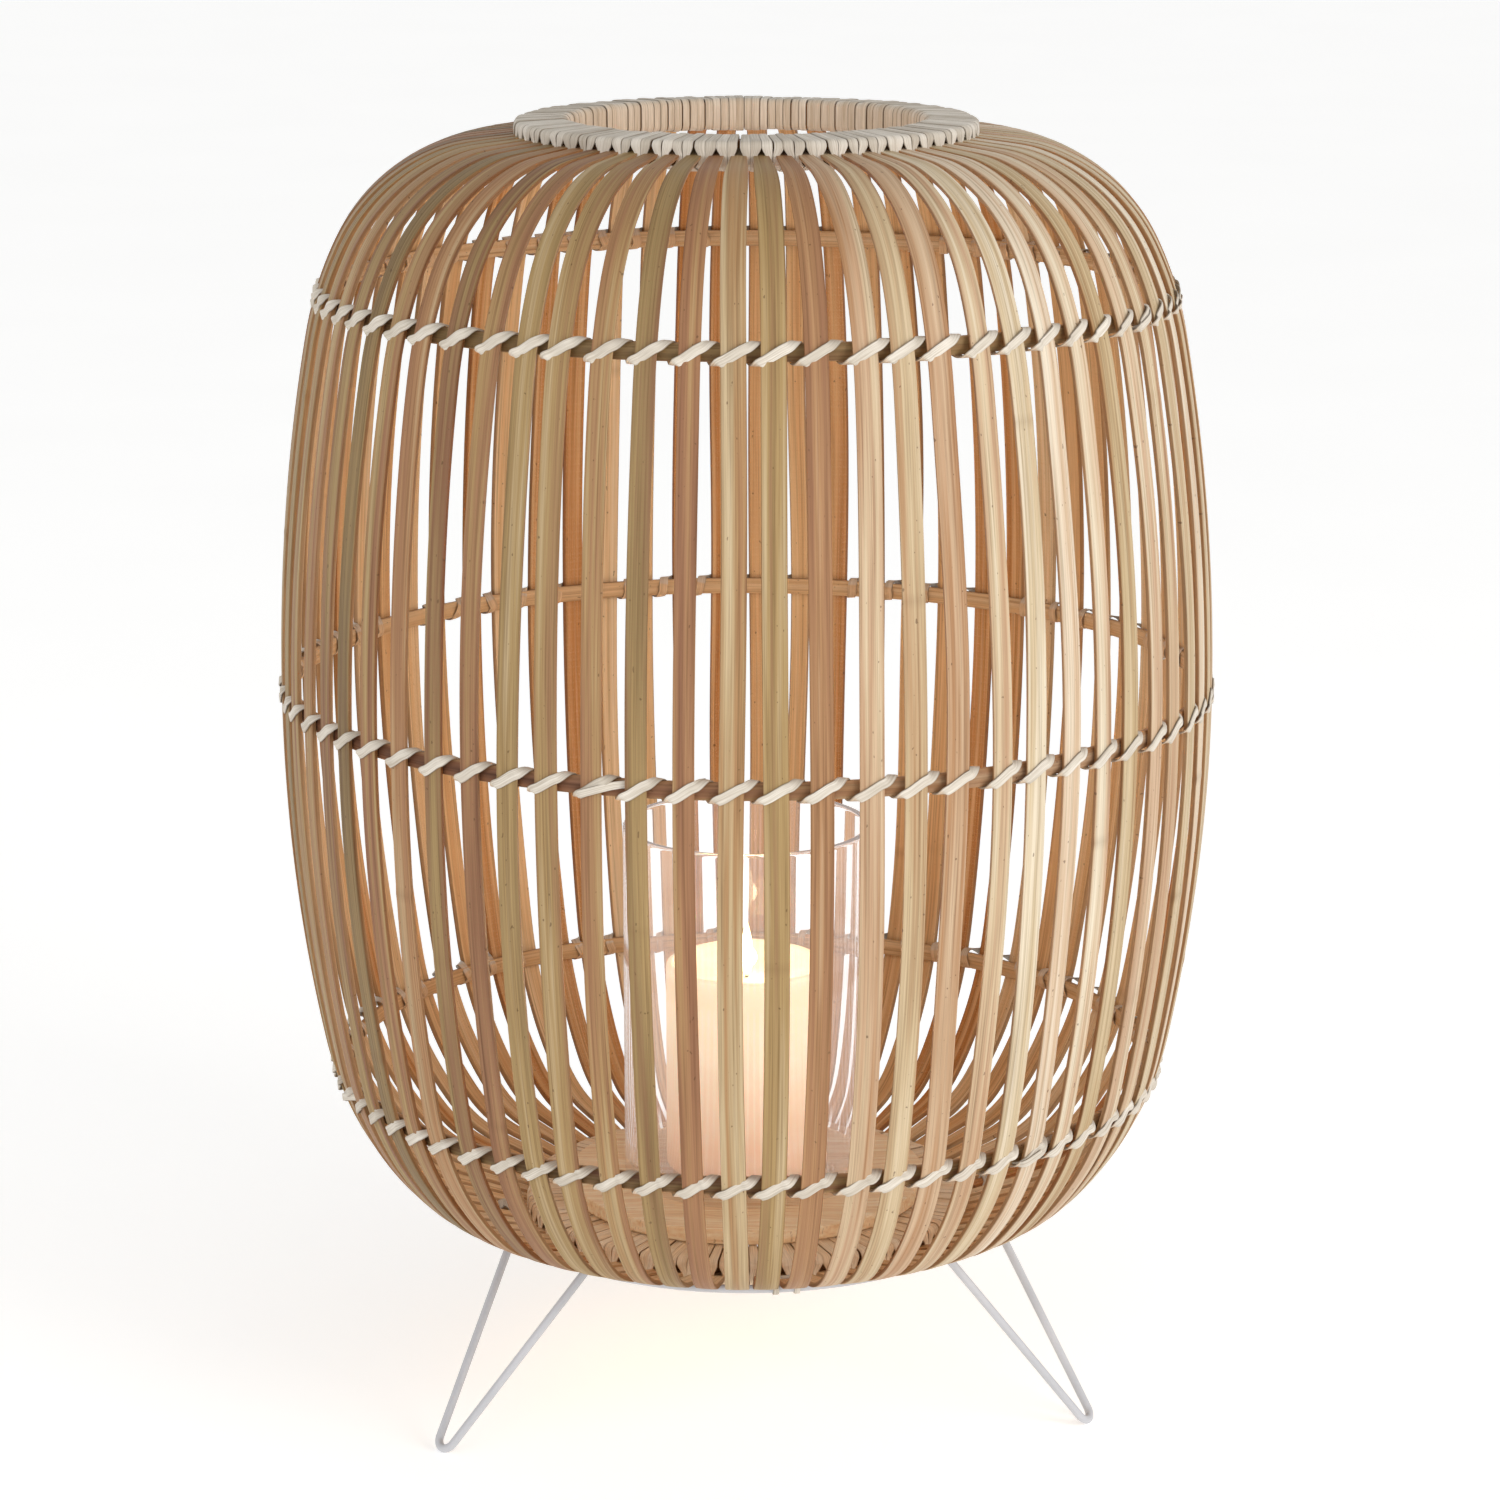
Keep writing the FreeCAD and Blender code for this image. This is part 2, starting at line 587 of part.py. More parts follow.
def make_leg(label, azimuth):
    """A hairpin of wire, from the ring down to a tight bend at the foot and back up.

    The wire is drawn lying down with its foot at the origin, tilted up to the ring, and trimmed
    where its two ends meet the ring.
    """
    wire = new_body(label + "_wire")
    half = new_sketch(wire, label + "_path", "XY_Plane")
    half.AttachmentOffset = FreeCAD.Placement(
        FreeCAD.Vector(0, 0, 0), FreeCAD.Rotation(FreeCAD.Vector(1, 0, 0), number("leg_tilt")))
    bind(half, "AttachmentOffset.Rotation.Angle", "leg_tilt")
    arc_chain(half, [("0", "0"), ("arm_start_x", "arm_start_y"), ("leg_half_chord", "leg_length")],
              ["leg_bend_radius", None], True)
    round_section = new_sketch(wire, label + "_section", "YZ_Plane")
    circle(round_section, "wire_radius")
    doc.recompute()
    arm = wire.newObject("PartDesign::AdditivePipe", label + "_arm")
    arm.Profile = round_section
    arm.Spine = (half, ["Edge1", "Edge2"])
    doc.recompute()
    pair = wire.newObject("PartDesign::Mirrored", label + "_pair")
    pair.Originals = [arm]
    pair.MirrorPlane = (origin_part(wire, "YZ_Plane"), [""])
    wire.Tip = pair
    place(wire, "wire_radius", azimuth + " + 90")
    bind(wire, "Placement.Base.x", "foot_radius * cos(%s)" % azimuth)
    bind(wire, "Placement.Base.y", "foot_radius * sin(%s)" % azimuth)

    leg = doc.addObject("Part::Cut", label)
    leg.Label = label
    leg.Base = wire
    leg.Tool = wire_torus(label + "_trim", "wire_radius + weld_gap")
    return leg


def make_ring_ties():
    """Rattan ties: each passes over one slat, down both sides of it and under the wire ring."""
    body = new_body("ring_ties")
    frame = new_sketch(body, "tie_frame", "XZ_Plane")
    for shell in ("", " + strip_thickness"):
        reach = "(wire_radius + seat_gap%s)" % shell
        near = "stand_ring_radius - " + reach
        far = "stand_ring_radius + " + reach
        foot = "stand_height - " + reach
        top = "tie_top" + shell
        polygon(frame, [(near, foot), (far, foot), (far, top), (near, top)])
    doc.recompute()
    loop = pad(body, frame, "tie_loop", "2 * (tie_half_inner + tie_strand)", middle=True)
    opening = new_sketch(body, "tie_opening", "YZ_Plane")
    polygon(opening, [("-tie_half_inner", "stand_height - ring_height"),
                      ("tie_half_inner", "stand_height - ring_height"),
                      ("tie_half_inner", "tie_top"), ("-tie_half_inner", "tie_top")])
    doc.recompute()
    middle = cut_through(body, opening, "tie_middle", "cut_length")
    polar_pattern(body, "tie_pattern", "tie_count", "tie_step", [loop, middle])
    place(body, azimuth="tie_first_azimuth")
    return body


# ---------------------------------------------------------------- the lantern

def make_lantern():
    parts = []
    for index in range(int(round(number("bundle_count")))):
        azimuth = "first_slat_azimuth + %d * slats_per_bundle * slat_pitch" % index
        parts.append(make_slats("slats_%02d" % (index + 1), azimuth))
    for name in ("upper", "middle", "lower"):
        radius = name + "_hoop_radius"
        level = name + "_hoop_level"
        parts.append(make_hoop("hoop_" + name, radius, level))
        parts.append(make_lashing("lashing_" + name, name + "_strip_radius", radius, level))
    parts.append(make_ring_wrap("top_ring_wrap", 1, "up_end_level", "upper_crown_lean",
                                "top_ring_base", "top_ring_bevel"))
    parts.append(make_ring_core("top_ring_core", 1, "up_end_level", "upper_crown_lean",
                                "top_ring_base"))
    parts.append(make_ring_wrap("bottom_ring_wrap", -1, "low_end_level", "lower_crown_lean",
                                "bottom_ring_base", "bottom_ring_bevel"))
    parts.append(make_ring_core("bottom_ring_core", -1, "low_end_level", "lower_crown_lean",
                                "bottom_ring_base"))
    parts.append(make_board())
    parts.append(make_glass())
    parts.append(make_candle())
    parts.append(make_wick())
    parts.append(wire_torus("stand_ring", "wire_radius"))
    for index, name in enumerate(("left", "right", "back")):
        parts.append(make_leg("leg_" + name, "(first_leg_azimuth + %d * 360 / leg_count)" % index))
    parts.append(make_ring_ties())
    return parts


def check(parts):
    """Stops if anything in the document failed to build."""
    for thing in doc.Objects:
        if "Invalid" in thing.State or "Error" in thing.State:
            raise RuntimeError("%s did not build: %s" % (thing.Name, thing.State))
    for part in parts:
        if part.Shape.isNull() or not part.Shape.isValid() or not part.Shape.Solids:
            raise RuntimeError("%s has no valid solid" % part.Label)


def export(parts):
    os.makedirs("parts", exist_ok=True)
    for part in parts:
        part.Shape.exportStep("parts/%s.step" % part.Label)


lantern = make_lantern()
doc.recompute()
check(lantern)
export(lantern)
print("%d nodes, %d solids" % (len(lantern), sum(len(part.Shape.Solids) for part in lantern)))
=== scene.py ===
"""The looks of a bamboo floor lantern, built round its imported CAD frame. Metres, +Z up, -Y front."""

import math
import random

import bpy
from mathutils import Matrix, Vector, noise


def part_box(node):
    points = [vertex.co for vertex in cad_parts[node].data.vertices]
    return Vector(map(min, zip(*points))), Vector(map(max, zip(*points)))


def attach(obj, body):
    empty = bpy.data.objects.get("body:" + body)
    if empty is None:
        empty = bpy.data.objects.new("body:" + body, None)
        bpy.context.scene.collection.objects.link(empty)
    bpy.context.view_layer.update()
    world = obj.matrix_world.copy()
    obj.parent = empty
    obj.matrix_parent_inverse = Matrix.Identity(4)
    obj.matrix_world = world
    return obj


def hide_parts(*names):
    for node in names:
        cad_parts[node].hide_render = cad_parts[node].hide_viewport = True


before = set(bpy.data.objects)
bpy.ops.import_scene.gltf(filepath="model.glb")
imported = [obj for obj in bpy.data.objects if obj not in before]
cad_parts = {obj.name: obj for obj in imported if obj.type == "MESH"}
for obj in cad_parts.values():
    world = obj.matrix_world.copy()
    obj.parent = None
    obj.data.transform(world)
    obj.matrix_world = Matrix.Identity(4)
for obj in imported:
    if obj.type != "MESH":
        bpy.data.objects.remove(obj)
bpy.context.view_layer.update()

MM = 0.001
LANTERN, GLASS, CANDLE = "lantern", "glass", "candle"

# ------------------------------------------------------------ places, read from the frame

SLAT_COUNT = 68
SLAT_PITCH = 2 * math.pi / SLAT_COUNT
FIRST_SLAT = math.radians(-91.8)
SLATS_PER_NODE = 2
SLAT_WIDTH = 10 * MM
SLAT_END_WIDTH = 6.4 * MM
SLAT_THICKNESS = 2.4 * MM
SLAT_TAPER_RUN = 56 * MM
HALF_SLAT = SLAT_THICKNESS / 2

# Each half of a slat bends in three arcs from its widest level to a ring: the lean from vertical
# where each arc ends, and the radius of the last two. The first arc's radius follows from its rise.
UPPER_LEANS = (10.5, 26.6, 78.7)
UPPER_RADII = (164.8 * MM, 84.3 * MM)
LOWER_LEANS = (11.5, 43.1, 74.9)
LOWER_RADII = (141.8 * MM, 56.3 * MM)
UPPER_HOOP_RISE = 18 * MM
MIDDLE_HOOP_RISE = 3.4 * MM
LOWER_HOOP_FALL = 16.3 * MM
HOOP_CLEARANCE = 0.35 * MM


def level(node):
    """Middle height of a CAD node."""
    low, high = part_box(node)
    return (low.z + high.z) / 2


def reach(node):
    """Outer radius of a round CAD node."""
    low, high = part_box(node)
    return (high.x - low.x) / 2


HOOPS = ("upper", "middle", "lower")
WIDEST_LEVEL = level("hoop_middle") - MIDDLE_HOOP_RISE
WIDEST_RADIUS = reach("hoop_middle") + HOOP_CLEARANCE + 1.25 * MM
UPPER_RISE = level("hoop_upper") - UPPER_HOOP_RISE - WIDEST_LEVEL
LOWER_RISE = WIDEST_LEVEL - level("hoop_lower") - LOWER_HOOP_FALL
SLAT_END_RADIUS = reach("top_ring_core") + 0.8 * MM
# A slat's upper end is shaved thinner, and it springs down a little as it meets the ring.
SHAVED_RUN = 45 * MM
SHAVED_SHARE = 0.6
END_DIP = 2.4 * MM
MOUTH_RADIUS = 82 * MM
RING_RADIUS = reach("top_ring_wrap")
WIRE_RADIUS = 2 * MM
STAND_RING_RADIUS = reach("stand_ring") - WIRE_RADIUS
STAND_LEVEL = level("stand_ring")


# ------------------------------------------------------------ curves in the plane of one slat

def smoothstep(value):
    """0 to 1, easing in and out, for a value held between 0 and 1."""
    value = max(0.0, min(1.0, value))
    return value * value * (3 - 2 * value)


def mix(a, b, share):
    """The value a share of the way from a to b."""
    return a + (b - a) * share


def half_profile(rise, leans, radii, side):
    """Points (radius, height, lean) from the widest level to a ring. side is 1 going up."""
    radius, height, lean = WIDEST_RADIUS, WIDEST_LEVEL, 0.0
    points = [(radius, height, 0.0)]
    first = rise / math.sin(math.radians(leans[0]))
    for bend, end in zip((first,) + radii, leans):
        steps = max(4, int(bend * math.radians(end - lean) / (4 * MM)))
        start_radius, start_height, start = radius, height, math.radians(lean)
        for step in range(1, steps + 1):
            turn = start + (math.radians(end) - start) * step / steps
            radius = start_radius - bend * (math.cos(start) - math.cos(turn))
            height = start_height + side * bend * (math.sin(turn) - math.sin(start))
            points.append((radius, height, side * turn))
        lean = end
    run = (radius - SLAT_END_RADIUS) / math.sin(math.radians(lean))
    steps = max(2, int(run / (4 * MM)))
    for step in range(1, steps + 1):
        along = run * step / steps
        points.append((radius - along * math.sin(math.radians(lean)),
                       height + side * along * math.cos(math.radians(lean)),
                       side * math.radians(lean)))
    return points


def near_top_ring(radius):
    """1 where a slat meets the top ring, fading to 0 over the run of its shaved end."""
    return smoothstep(1 - (radius - SLAT_END_RADIUS) / SHAVED_RUN)


def slat_profile():
    """The whole slat from its lower end to its upper end, as (radius, height, lean, length so far)."""
    lower = half_profile(LOWER_RISE, LOWER_LEANS, LOWER_RADII, -1)
    upper = half_profile(UPPER_RISE, UPPER_LEANS, UPPER_RADII, 1)
    spots = lower[::-1] + upper[1:]
    length = 0.0
    profile = []
    for index, (radius, height, lean) in enumerate(spots):
        if height > WIDEST_LEVEL:
            height -= END_DIP * near_top_ring(radius)
        if index:
            before = spots[index - 1]
            length += math.hypot(radius - before[0], height - before[1])
        profile.append((radius, height, lean, length))
    return profile


PROFILE = slat_profile()
SLAT_LENGTH = PROFILE[-1][3]


def slat_radius(height):
    """Radius of the slats' middle surface at a height between the two shoulders."""
    for (ra, za, _, _), (rb, zb, _, _) in zip(PROFILE, PROFILE[1:]):
        if za <= height <= zb:
            return ra + (rb - ra) * (height - za) / (zb - za)
    return PROFILE[0][0]


def rounded_outline(corners, step):
    """A closed outline of (x, y, nx, ny) round corners given as (x, y, corner radius)."""
    outline = []
    count = len(corners)
    for index, (x, y, radius) in enumerate(corners):
        corner = Vector((x, y))
        before = Vector(corners[index - 1][:2])
        after = Vector(corners[(index + 1) % count][:2])
        way_in = (corner - before).normalized()
        way_out = (after - corner).normalized()
        turn = math.acos(max(-1, min(1, way_in.dot(way_out))))
        side = 1 if way_in.x * way_out.y - way_in.y * way_out.x > 0 else -1
        setback = radius * math.tan(turn / 2)
        centre = corner - way_in * setback + Vector((-way_in.y, way_in.x)) * side * radius
        start = math.atan2(*(corner - way_in * setback - centre).yx)
        pieces = max(3, int(radius * turn / step))
        for piece in range(pieces + 1):
            angle = start + side * turn * piece / pieces
            outline.append((centre.x + radius * math.cos(angle), centre.y + radius * math.sin(angle)))
        spot = Vector(outline[-1])
        next_radius = corners[(index + 1) % count][2]
        following = Vector(corners[(index + 2) % count][:2])
        next_turn = math.acos(max(-1, min(1, way_out.dot((following - after).normalized()))))
        gap = (after - spot).length - next_radius * math.tan(next_turn / 2)
        pieces = max(1, int(gap / step))
        for piece in range(1, pieces):
            where = spot + way_out * gap * piece / pieces
            outline.append((where.x, where.y))
    return with_normals(outline)


def with_normals(outline):
    """Adds to each point of a closed outline the normal on its right-hand side."""
    count = len(outline)
    result = []
    for index, (x, y) in enumerate(outline):
        ax, ay = outline[index - 1]
        bx, by = outline[(index + 1) % count]
        size = math.hypot(bx - ax, by - ay)
        result.append((x, y, (by - ay) / size, -(bx - ax) / size))
    return result


def on_circle(radius, angle, height):
    """A point at a radius, an azimuth and a height."""
    return Vector((radius * math.cos(angle), radius * math.sin(angle), height))


def radial(angle):
    """The outward direction at an azimuth."""
    return Vector((math.cos(angle), math.sin(angle), 0))


def through(points, closed, steps):
    """A Catmull-Rom curve through vectors, with steps samples for each span."""
    count = len(points)
    curve = []
    spans = count if closed else count - 1
    for span in range(spans):
        quad = [points[(span + shift) % count] if closed
                else points[max(0, min(count - 1, span + shift))] for shift in (-1, 0, 1, 2)]
        for step in range(steps):
            t = step / steps
            curve.append(0.5 * (2 * quad[1] + (quad[2] - quad[0]) * t
                                + (2 * quad[0] - 5 * quad[1] + 4 * quad[2] - quad[3]) * t * t
                                + (3 * quad[1] - quad[0] - 3 * quad[2] + quad[3]) * t ** 3))
    if not closed:
        curve.append(points[-1])
    return curve


# ------------------------------------------------------------ meshes

# The look of a piece with no tone, mark or edge of its own.
PLAIN_LOOK = (0.5, 1.0, 0.0, 0.0)


class Build:
    """Collects lofted shapes, with a grain coordinate and a look for each point.

    grain is (across, along, seed) in metres, for fibres that follow the piece. look is
    (tone of the piece, 1 on the outer skin, mark, 1 at the edges). The bamboo's tone is partly painted
    light, the edges take painted shade, and on rattan the mark takes painted candle light.
    """

    def __init__(self):
        self.points = []
        self.faces = []
        self.grain = []
        self.look = []

    def loft(self, rings, loop=False):
        """Joins rings of (point, grain, look) into one closed skin."""
        start = len(self.points)
        size = len(rings[0])
        for ring in rings:
            for point, grain, look in ring:
                self.points.append(point)
                self.grain.append(grain)
                self.look.append(look)
        count = len(rings)
        for index in range(count if loop else count - 1):
            here = start + index * size
            there = start + (index + 1) % count * size
            for side in range(size):
                beside = (side + 1) % size
                self.faces.append((here + side, here + beside, there + beside, there + side))
        if not loop:
            self.faces.append(tuple(start + side for side in reversed(range(size))))
            self.faces.append(tuple(start + (count - 1) * size + side for side in range(size)))

    def piece(self, name, material, body, replaced=(), sharp=40):
        """Makes the object, which rides on a body and may take the place of CAD nodes."""
        mesh = bpy.data.meshes.new(name)
        mesh.from_pydata(self.points, [], self.faces)
        grain = mesh.attributes.new("grain", "FLOAT_VECTOR", "POINT")
        grain.data.foreach_set("vector", [value for item in self.grain for value in item])
        look = mesh.attributes.new("look", "FLOAT_COLOR", "POINT")
        look.data.foreach_set("color", [value for item in self.look for value in item])
        mesh.materials.append(material)
        mesh.polygons.foreach_set("use_smooth", [True] * len(mesh.polygons))
        mesh.set_sharp_from_angle(angle=math.radians(sharp))
        mesh.validate()
        piece = bpy.data.objects.new(name, mesh)
        bpy.context.scene.collection.objects.link(piece)
        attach(piece, body)
        if replaced:
            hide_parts(*replaced)
        return piece


def turned_solid(build, outline, segments, wobble=None):
    """An open outline from axis to axis, turned round the Z axis, with a point at each end."""
    start = len(build.points)
    inner = outline[1:-1]
    for index in range(segments):
        angle = 2 * math.pi * index / segments
        for spot, (radius, height) in enumerate(inner, 1):
            lift = wobble(radius, height, angle) if wobble else 0.0
            build.points.append(on_circle(radius, angle, height + lift))
            build.grain.append((radius * angle, spot * MM, 0.0))
            build.look.append(PLAIN_LOOK)
    size = len(inner)
    for index in range(segments):
        here = start + index * size
        there = start + (index + 1) % segments * size
        for spot in range(size - 1):
            build.faces.append((here + spot, there + spot, there + spot + 1, here + spot + 1))
    for end, spot in ((outline[0], 0), (outline[-1], size - 1)):
        centre = len(build.points)
        build.points.append(Vector((0, 0, end[1])))
        build.grain.append((0.0, 0.0, 0.0))
        build.look.append(PLAIN_LOOK)
        for index in range(segments):
            a = start + index * size + spot
            b = start + (index + 1) % segments * size + spot
            build.faces.append((centre, b, a) if spot == 0 else (centre, a, b))


# Section of a strip as (share of half the width, share of the thickness).
STRIP_SECTION = ((-1, 0.15), (-0.93, 0.8), (-0.6, 1), (0.6, 1), (0.93, 0.8), (1, 0.15),
                 (0.8, 0), (-0.8, 0))


def strip(build, stations, width, thickness, seed, tone, loop=False, widths=None, marks=None):
    """A flat rattan strip along stations of (point, outward normal), domed a little outside."""
    count = len(stations)
    rings = []
    along = 0.0
    for index, (point, normal) in enumerate(stations):
        before = stations[index - 1][0] if loop or index else point
        after = stations[(index + 1) % count][0] if loop or index < count - 1 else point
        tangent = (after - before).normalized()
        across = tangent.cross(normal).normalized()
        outward = across.cross(tangent).normalized()
        if index:
            along += (point - stations[index - 1][0]).length
        half = width / 2 * (widths[index] if widths else 1)
        mark = marks[index] if marks else 0.0
        ring = []
        for share, depth in STRIP_SECTION:
            ring.append((point + across * share * half + outward * depth * thickness,
                         (share * half, along, seed), (tone, 1.0, mark, abs(share))))
        rings.append(ring)
    build.loft(rings, loop)


def wire(build, path, radius, sides=18, loop=False):
    """Round wire along a list of points."""
    count = len(path)
    rings = []
    side_way = None
    along = 0.0
    for index, point in enumerate(path):
        before = path[index - 1] if loop or index else point
        after = path[(index + 1) % count] if loop or index < count - 1 else point
        tangent = (after - before).normalized()
        if side_way is None:
            side_way = tangent.cross(Vector((0, 0, 1)))
            if side_way.length < 0.1:
                side_way = tangent.cross(Vector((1, 0, 0)))
        side_way = (side_way - tangent * side_way.dot(tangent)).normalized()
        up = side_way.cross(tangent)
        along += (point - path[index - 1]).length if index else 0.0
        ring = []
        for side in range(sides):
            turn = 2 * math.pi * side / sides
            ring.append((point + (side_way * math.cos(turn) + up * math.sin(turn)) * radius,
                         (radius * turn, along, 0.0), PLAIN_LOOK))
        rings.append(ring)
    build.loft(rings, loop)


# ------------------------------------------------------------ materials

def linear(code):
    """A colour written as six hexadecimal digits, in linear light."""
    parts = [int(code[spot:spot + 2], 16) / 255 for spot in (0, 2, 4)]
    return tuple(part / 12.92 if part <= 0.04045 else ((part + 0.055) / 1.055) ** 2.4
                 for part in parts) + (1.0,)


def is_socket(value):
    """Whether a value is the output of a node, to be linked rather than set."""
    return isinstance(value, bpy.types.NodeSocket)


def plain(value):
    """A value as a socket takes it: a colour's digits become linear light."""
    return linear(value) if isinstance(value, str) else value


class Paint:
    """A node material, built up from a piece's attributes and from noise."""

    def __init__(self, name, roughness=0.5, **sockets):
        self.material = bpy.data.materials.new(name)
        self.material.use_nodes = True
        self.tree = self.material.node_tree
        self.shader = self.tree.nodes["Principled BSDF"]
        self.shader.inputs["Roughness"].default_value = roughness
        for socket, value in sockets.items():
            self.shader.inputs[socket.replace("_", " ")].default_value = plain(value)

    def add(self, kind, **inputs):
        """Adds a node. A value that is a socket is linked; properties start with a small p_."""
        node = self.tree.nodes.new("ShaderNode" + kind)
        for key, value in inputs.items():
            if key.startswith("p_"):
                setattr(node, key[2:], value)
        for key, value in inputs.items():
            if key.startswith("p_"):
                continue
            socket = node.inputs[int(key[1:])] if key[0] == "i" and key[1:].isdigit() else node.inputs[key]
            if is_socket(value):
                self.tree.links.new(value, socket)
            else:
                socket.default_value = value
        return node

    def attribute(self, name):
        """The node of one of the mesh's own attributes."""
        return self.add("Attribute", p_attribute_name=name)

    def place(self):
        """Where a point is in its object, in metres."""
        return self.add("TexCoord").outputs["Object"]

    def scaled(self, vector, scale):
        """A vector times a scale for each axis."""
        return self.add("VectorMath", p_operation="MULTIPLY", i0=vector, i1=scale).outputs[0]

    def noise(self, vector, scale=1.0, detail=3.0, roughness=0.5):
        """Smooth noise from 0 to 1 at a place."""
        return self.add("TexNoise", Vector=vector, Scale=scale, Detail=detail,
                        Roughness=roughness).outputs["Fac"]

    def ramp(self, value, *stops):
        """A colour ramp through (position, colour) stops."""
        node = self.add("ValToRGB", Fac=value)
        elements = node.color_ramp.elements
        while len(elements) < len(stops):
            elements.new(0.5)
        for element, (position, colour) in zip(elements, stops):
            element.position = position
            element.color = plain(colour)
        return node.outputs[0]

    def spread(self, value, low, high, to_low=0.0, to_high=1.0):
        """A value mapped from one range to another, and held inside it."""
        return self.add("MapRange", i0=value, i1=low, i2=high, i3=to_low, i4=to_high).outputs[0]

    def math(self, operation, a, b=0.0):
        """One sum on two values."""
        return self.add("Math", p_operation=operation, i0=a, i1=b).outputs[0]

    def blend(self, factor, a, b, mode="MIX"):
        """Two colours mixed."""
        node = self.tree.nodes.new("ShaderNodeMix")
        node.data_type = "RGBA"
        node.blend_type = mode
        for index, value in ((0, factor), (6, a), (7, b)):
            if is_socket(value):
                self.tree.links.new(value, node.inputs[index])
            else:
                node.inputs[index].default_value = plain(value)
        return node.outputs[2]

    def drive(self, socket, value):
        """Links a value to a socket of the shader."""
        self.tree.links.new(value, self.shader.inputs[socket])

    def bump(self, height, strength, distance):
        """Raises the surface by a height from 0 to 1."""
        node = self.add("Bump", Strength=strength, Distance=distance, Height=height)
        self.drive("Normal", node.outputs[0])


def bamboo_material():
    """Split bamboo: a satin skin with long streaks, warmer flesh inside, and painted shade that darkens its
    side faces and edges.
    """
    paint = Paint("split_bamboo", Specular_IOR_Level=0.22)
    grain = paint.attribute("grain").outputs["Vector"]
    look = paint.attribute("look")
    parts = paint.add("SeparateColor", Color=look.outputs["Color"])
    tone, skin, mark = parts.outputs[0], parts.outputs[1], parts.outputs[2]
    edge = look.outputs["Alpha"]
    # Three sizes of streak: bands a few millimetres wide, streaks and single fibres.
    band = paint.noise(paint.scaled(grain, (260, 5, 31)), detail=2)
    streak = paint.noise(paint.scaled(grain, (1100, 8, 17)), detail=4, roughness=0.6)
    fibre = paint.noise(paint.scaled(grain, (5200, 30, 17)), detail=3, roughness=0.6)
    # The tone carries each slat's own tone and the painted light of the cage's lit side.
    tone_here = paint.math("ADD", tone, paint.spread(band, 0.28, 0.72, -0.16, 0.16))
    seed = paint.add("SeparateXYZ", Vector=grain).outputs[2]
    chances = paint.add("TexWhiteNoise", p_noise_dimensions="1D", W=seed).outputs["Color"]
    chances = paint.add("SeparateColor", Color=chances)
    brown = paint.ramp(tone_here, (0.0, "6E4B38"), (0.25, "8E644A"), (0.5, "AE8560"), (0.75, "D2B89E"),
                       (1.0, "EBDFD0"))
    olive = paint.ramp(tone_here, (0.0, "6F5F46"), (0.25, "8A754F"), (0.5, "AA9063"), (0.75, "CEBC9C"),
                       (1.0, "E9E1D0"))
    hue = paint.math("ADD", chances.outputs[0], paint.spread(band, 0.3, 0.7, -0.3, 0.3))
    outer = paint.blend(paint.spread(hue, 0.3, 0.7), brown, olive)
    wet = paint.noise(paint.scaled(grain, (300, 2.4, 71)), detail=1)
    inner = paint.ramp(paint.math("ADD", chances.outputs[1], paint.spread(wet, 0.3, 0.7, -0.2, 0.2)),
                       (0.0, "CB8A4E"), (0.2, "E2B07A"), (0.6, "F0C896"), (1.0, "F5DAB4"))
    body = paint.blend(skin, inner, outer)
    shade = paint.ramp(streak, (0.28, "B4A797"), (0.5, "F0ECE6"), (0.72, "FFFFFF"))
    body = paint.blend(0.8, body, shade, "MULTIPLY")
    fine = paint.ramp(fibre, (0.3, "CFC6BA"), (0.62, "FFFFFF"))
    body = paint.blend(0.45, body, fine, "MULTIPLY")
    # Painted shade: the side faces and edges are darkened, as in the thin shadowed gaps between slats.
    body = paint.blend(paint.spread(edge, 0.1, 0.8, 0.0, 0.6), body, "A98862", "MULTIPLY")
    fleck = paint.noise(paint.scaled(grain, (600, 330, 53)), detail=1)
    body = paint.blend(paint.spread(fleck, 0.745, 0.775, 0.0, 0.6), body, "50351F")
    body = paint.blend(paint.math("MULTIPLY", mark, 0.22), body, "6B4B30")
    paint.drive("Base Color", body)
    paint.drive("Roughness", paint.spread(streak, 0.3, 0.7, 0.62, 0.44))
    height = paint.math("ADD", paint.math("MULTIPLY", streak, 0.7), paint.math("MULTIPLY", fibre, 0.4))
    paint.bump(height, 0.4, 0.3 * MM)
    return paint.material


def rattan_material(name, dark, middle, light, gap, candlelit):
    """Peeled rattan strip: matte, with fine lengthwise fibres, and painted shade at its edges, where strips
    meet.

    Marked lengths, which lie on the inside of the cage, take a warmer colour: painted candle light.
    """
    paint = Paint(name, roughness=0.6)
    grain = paint.attribute("grain").outputs["Vector"]
    look = paint.attribute("look")
    parts = paint.add("SeparateColor", Color=look.outputs["Color"])
    drift = paint.noise(paint.scaled(grain, (120, 35, 23)), detail=2)
    tone = paint.math("ADD", parts.outputs[0], paint.spread(drift, 0.3, 0.7, -0.2, 0.2))
    body = paint.ramp(tone, (0.05, dark), (0.5, middle), (0.95, light))
    # Painted candle light: marked lengths inside the cage turn warmer.
    body = paint.blend(parts.outputs[2], body, candlelit)
    fibre = paint.noise(paint.scaled(grain, (2600, 50, 41)), detail=4, roughness=0.6)
    fine = paint.ramp(fibre, (0.3, "B9AC99"), (0.6, "FFFFFF"))
    body = paint.blend(0.65, body, fine, "MULTIPLY")
    # Painted shade: the strip's edges darken to the gap colour, as shade where strips meet.
    edge = paint.spread(look.outputs["Alpha"], 0.86, 1.0, 0.0, 0.75)
    body = paint.blend(edge, body, gap)
    paint.drive("Base Color", body)
    paint.drive("Roughness", paint.spread(fibre, 0.3, 0.7, 0.7, 0.5))
    paint.bump(fibre, 0.5, 0.25 * MM)
    return paint.material


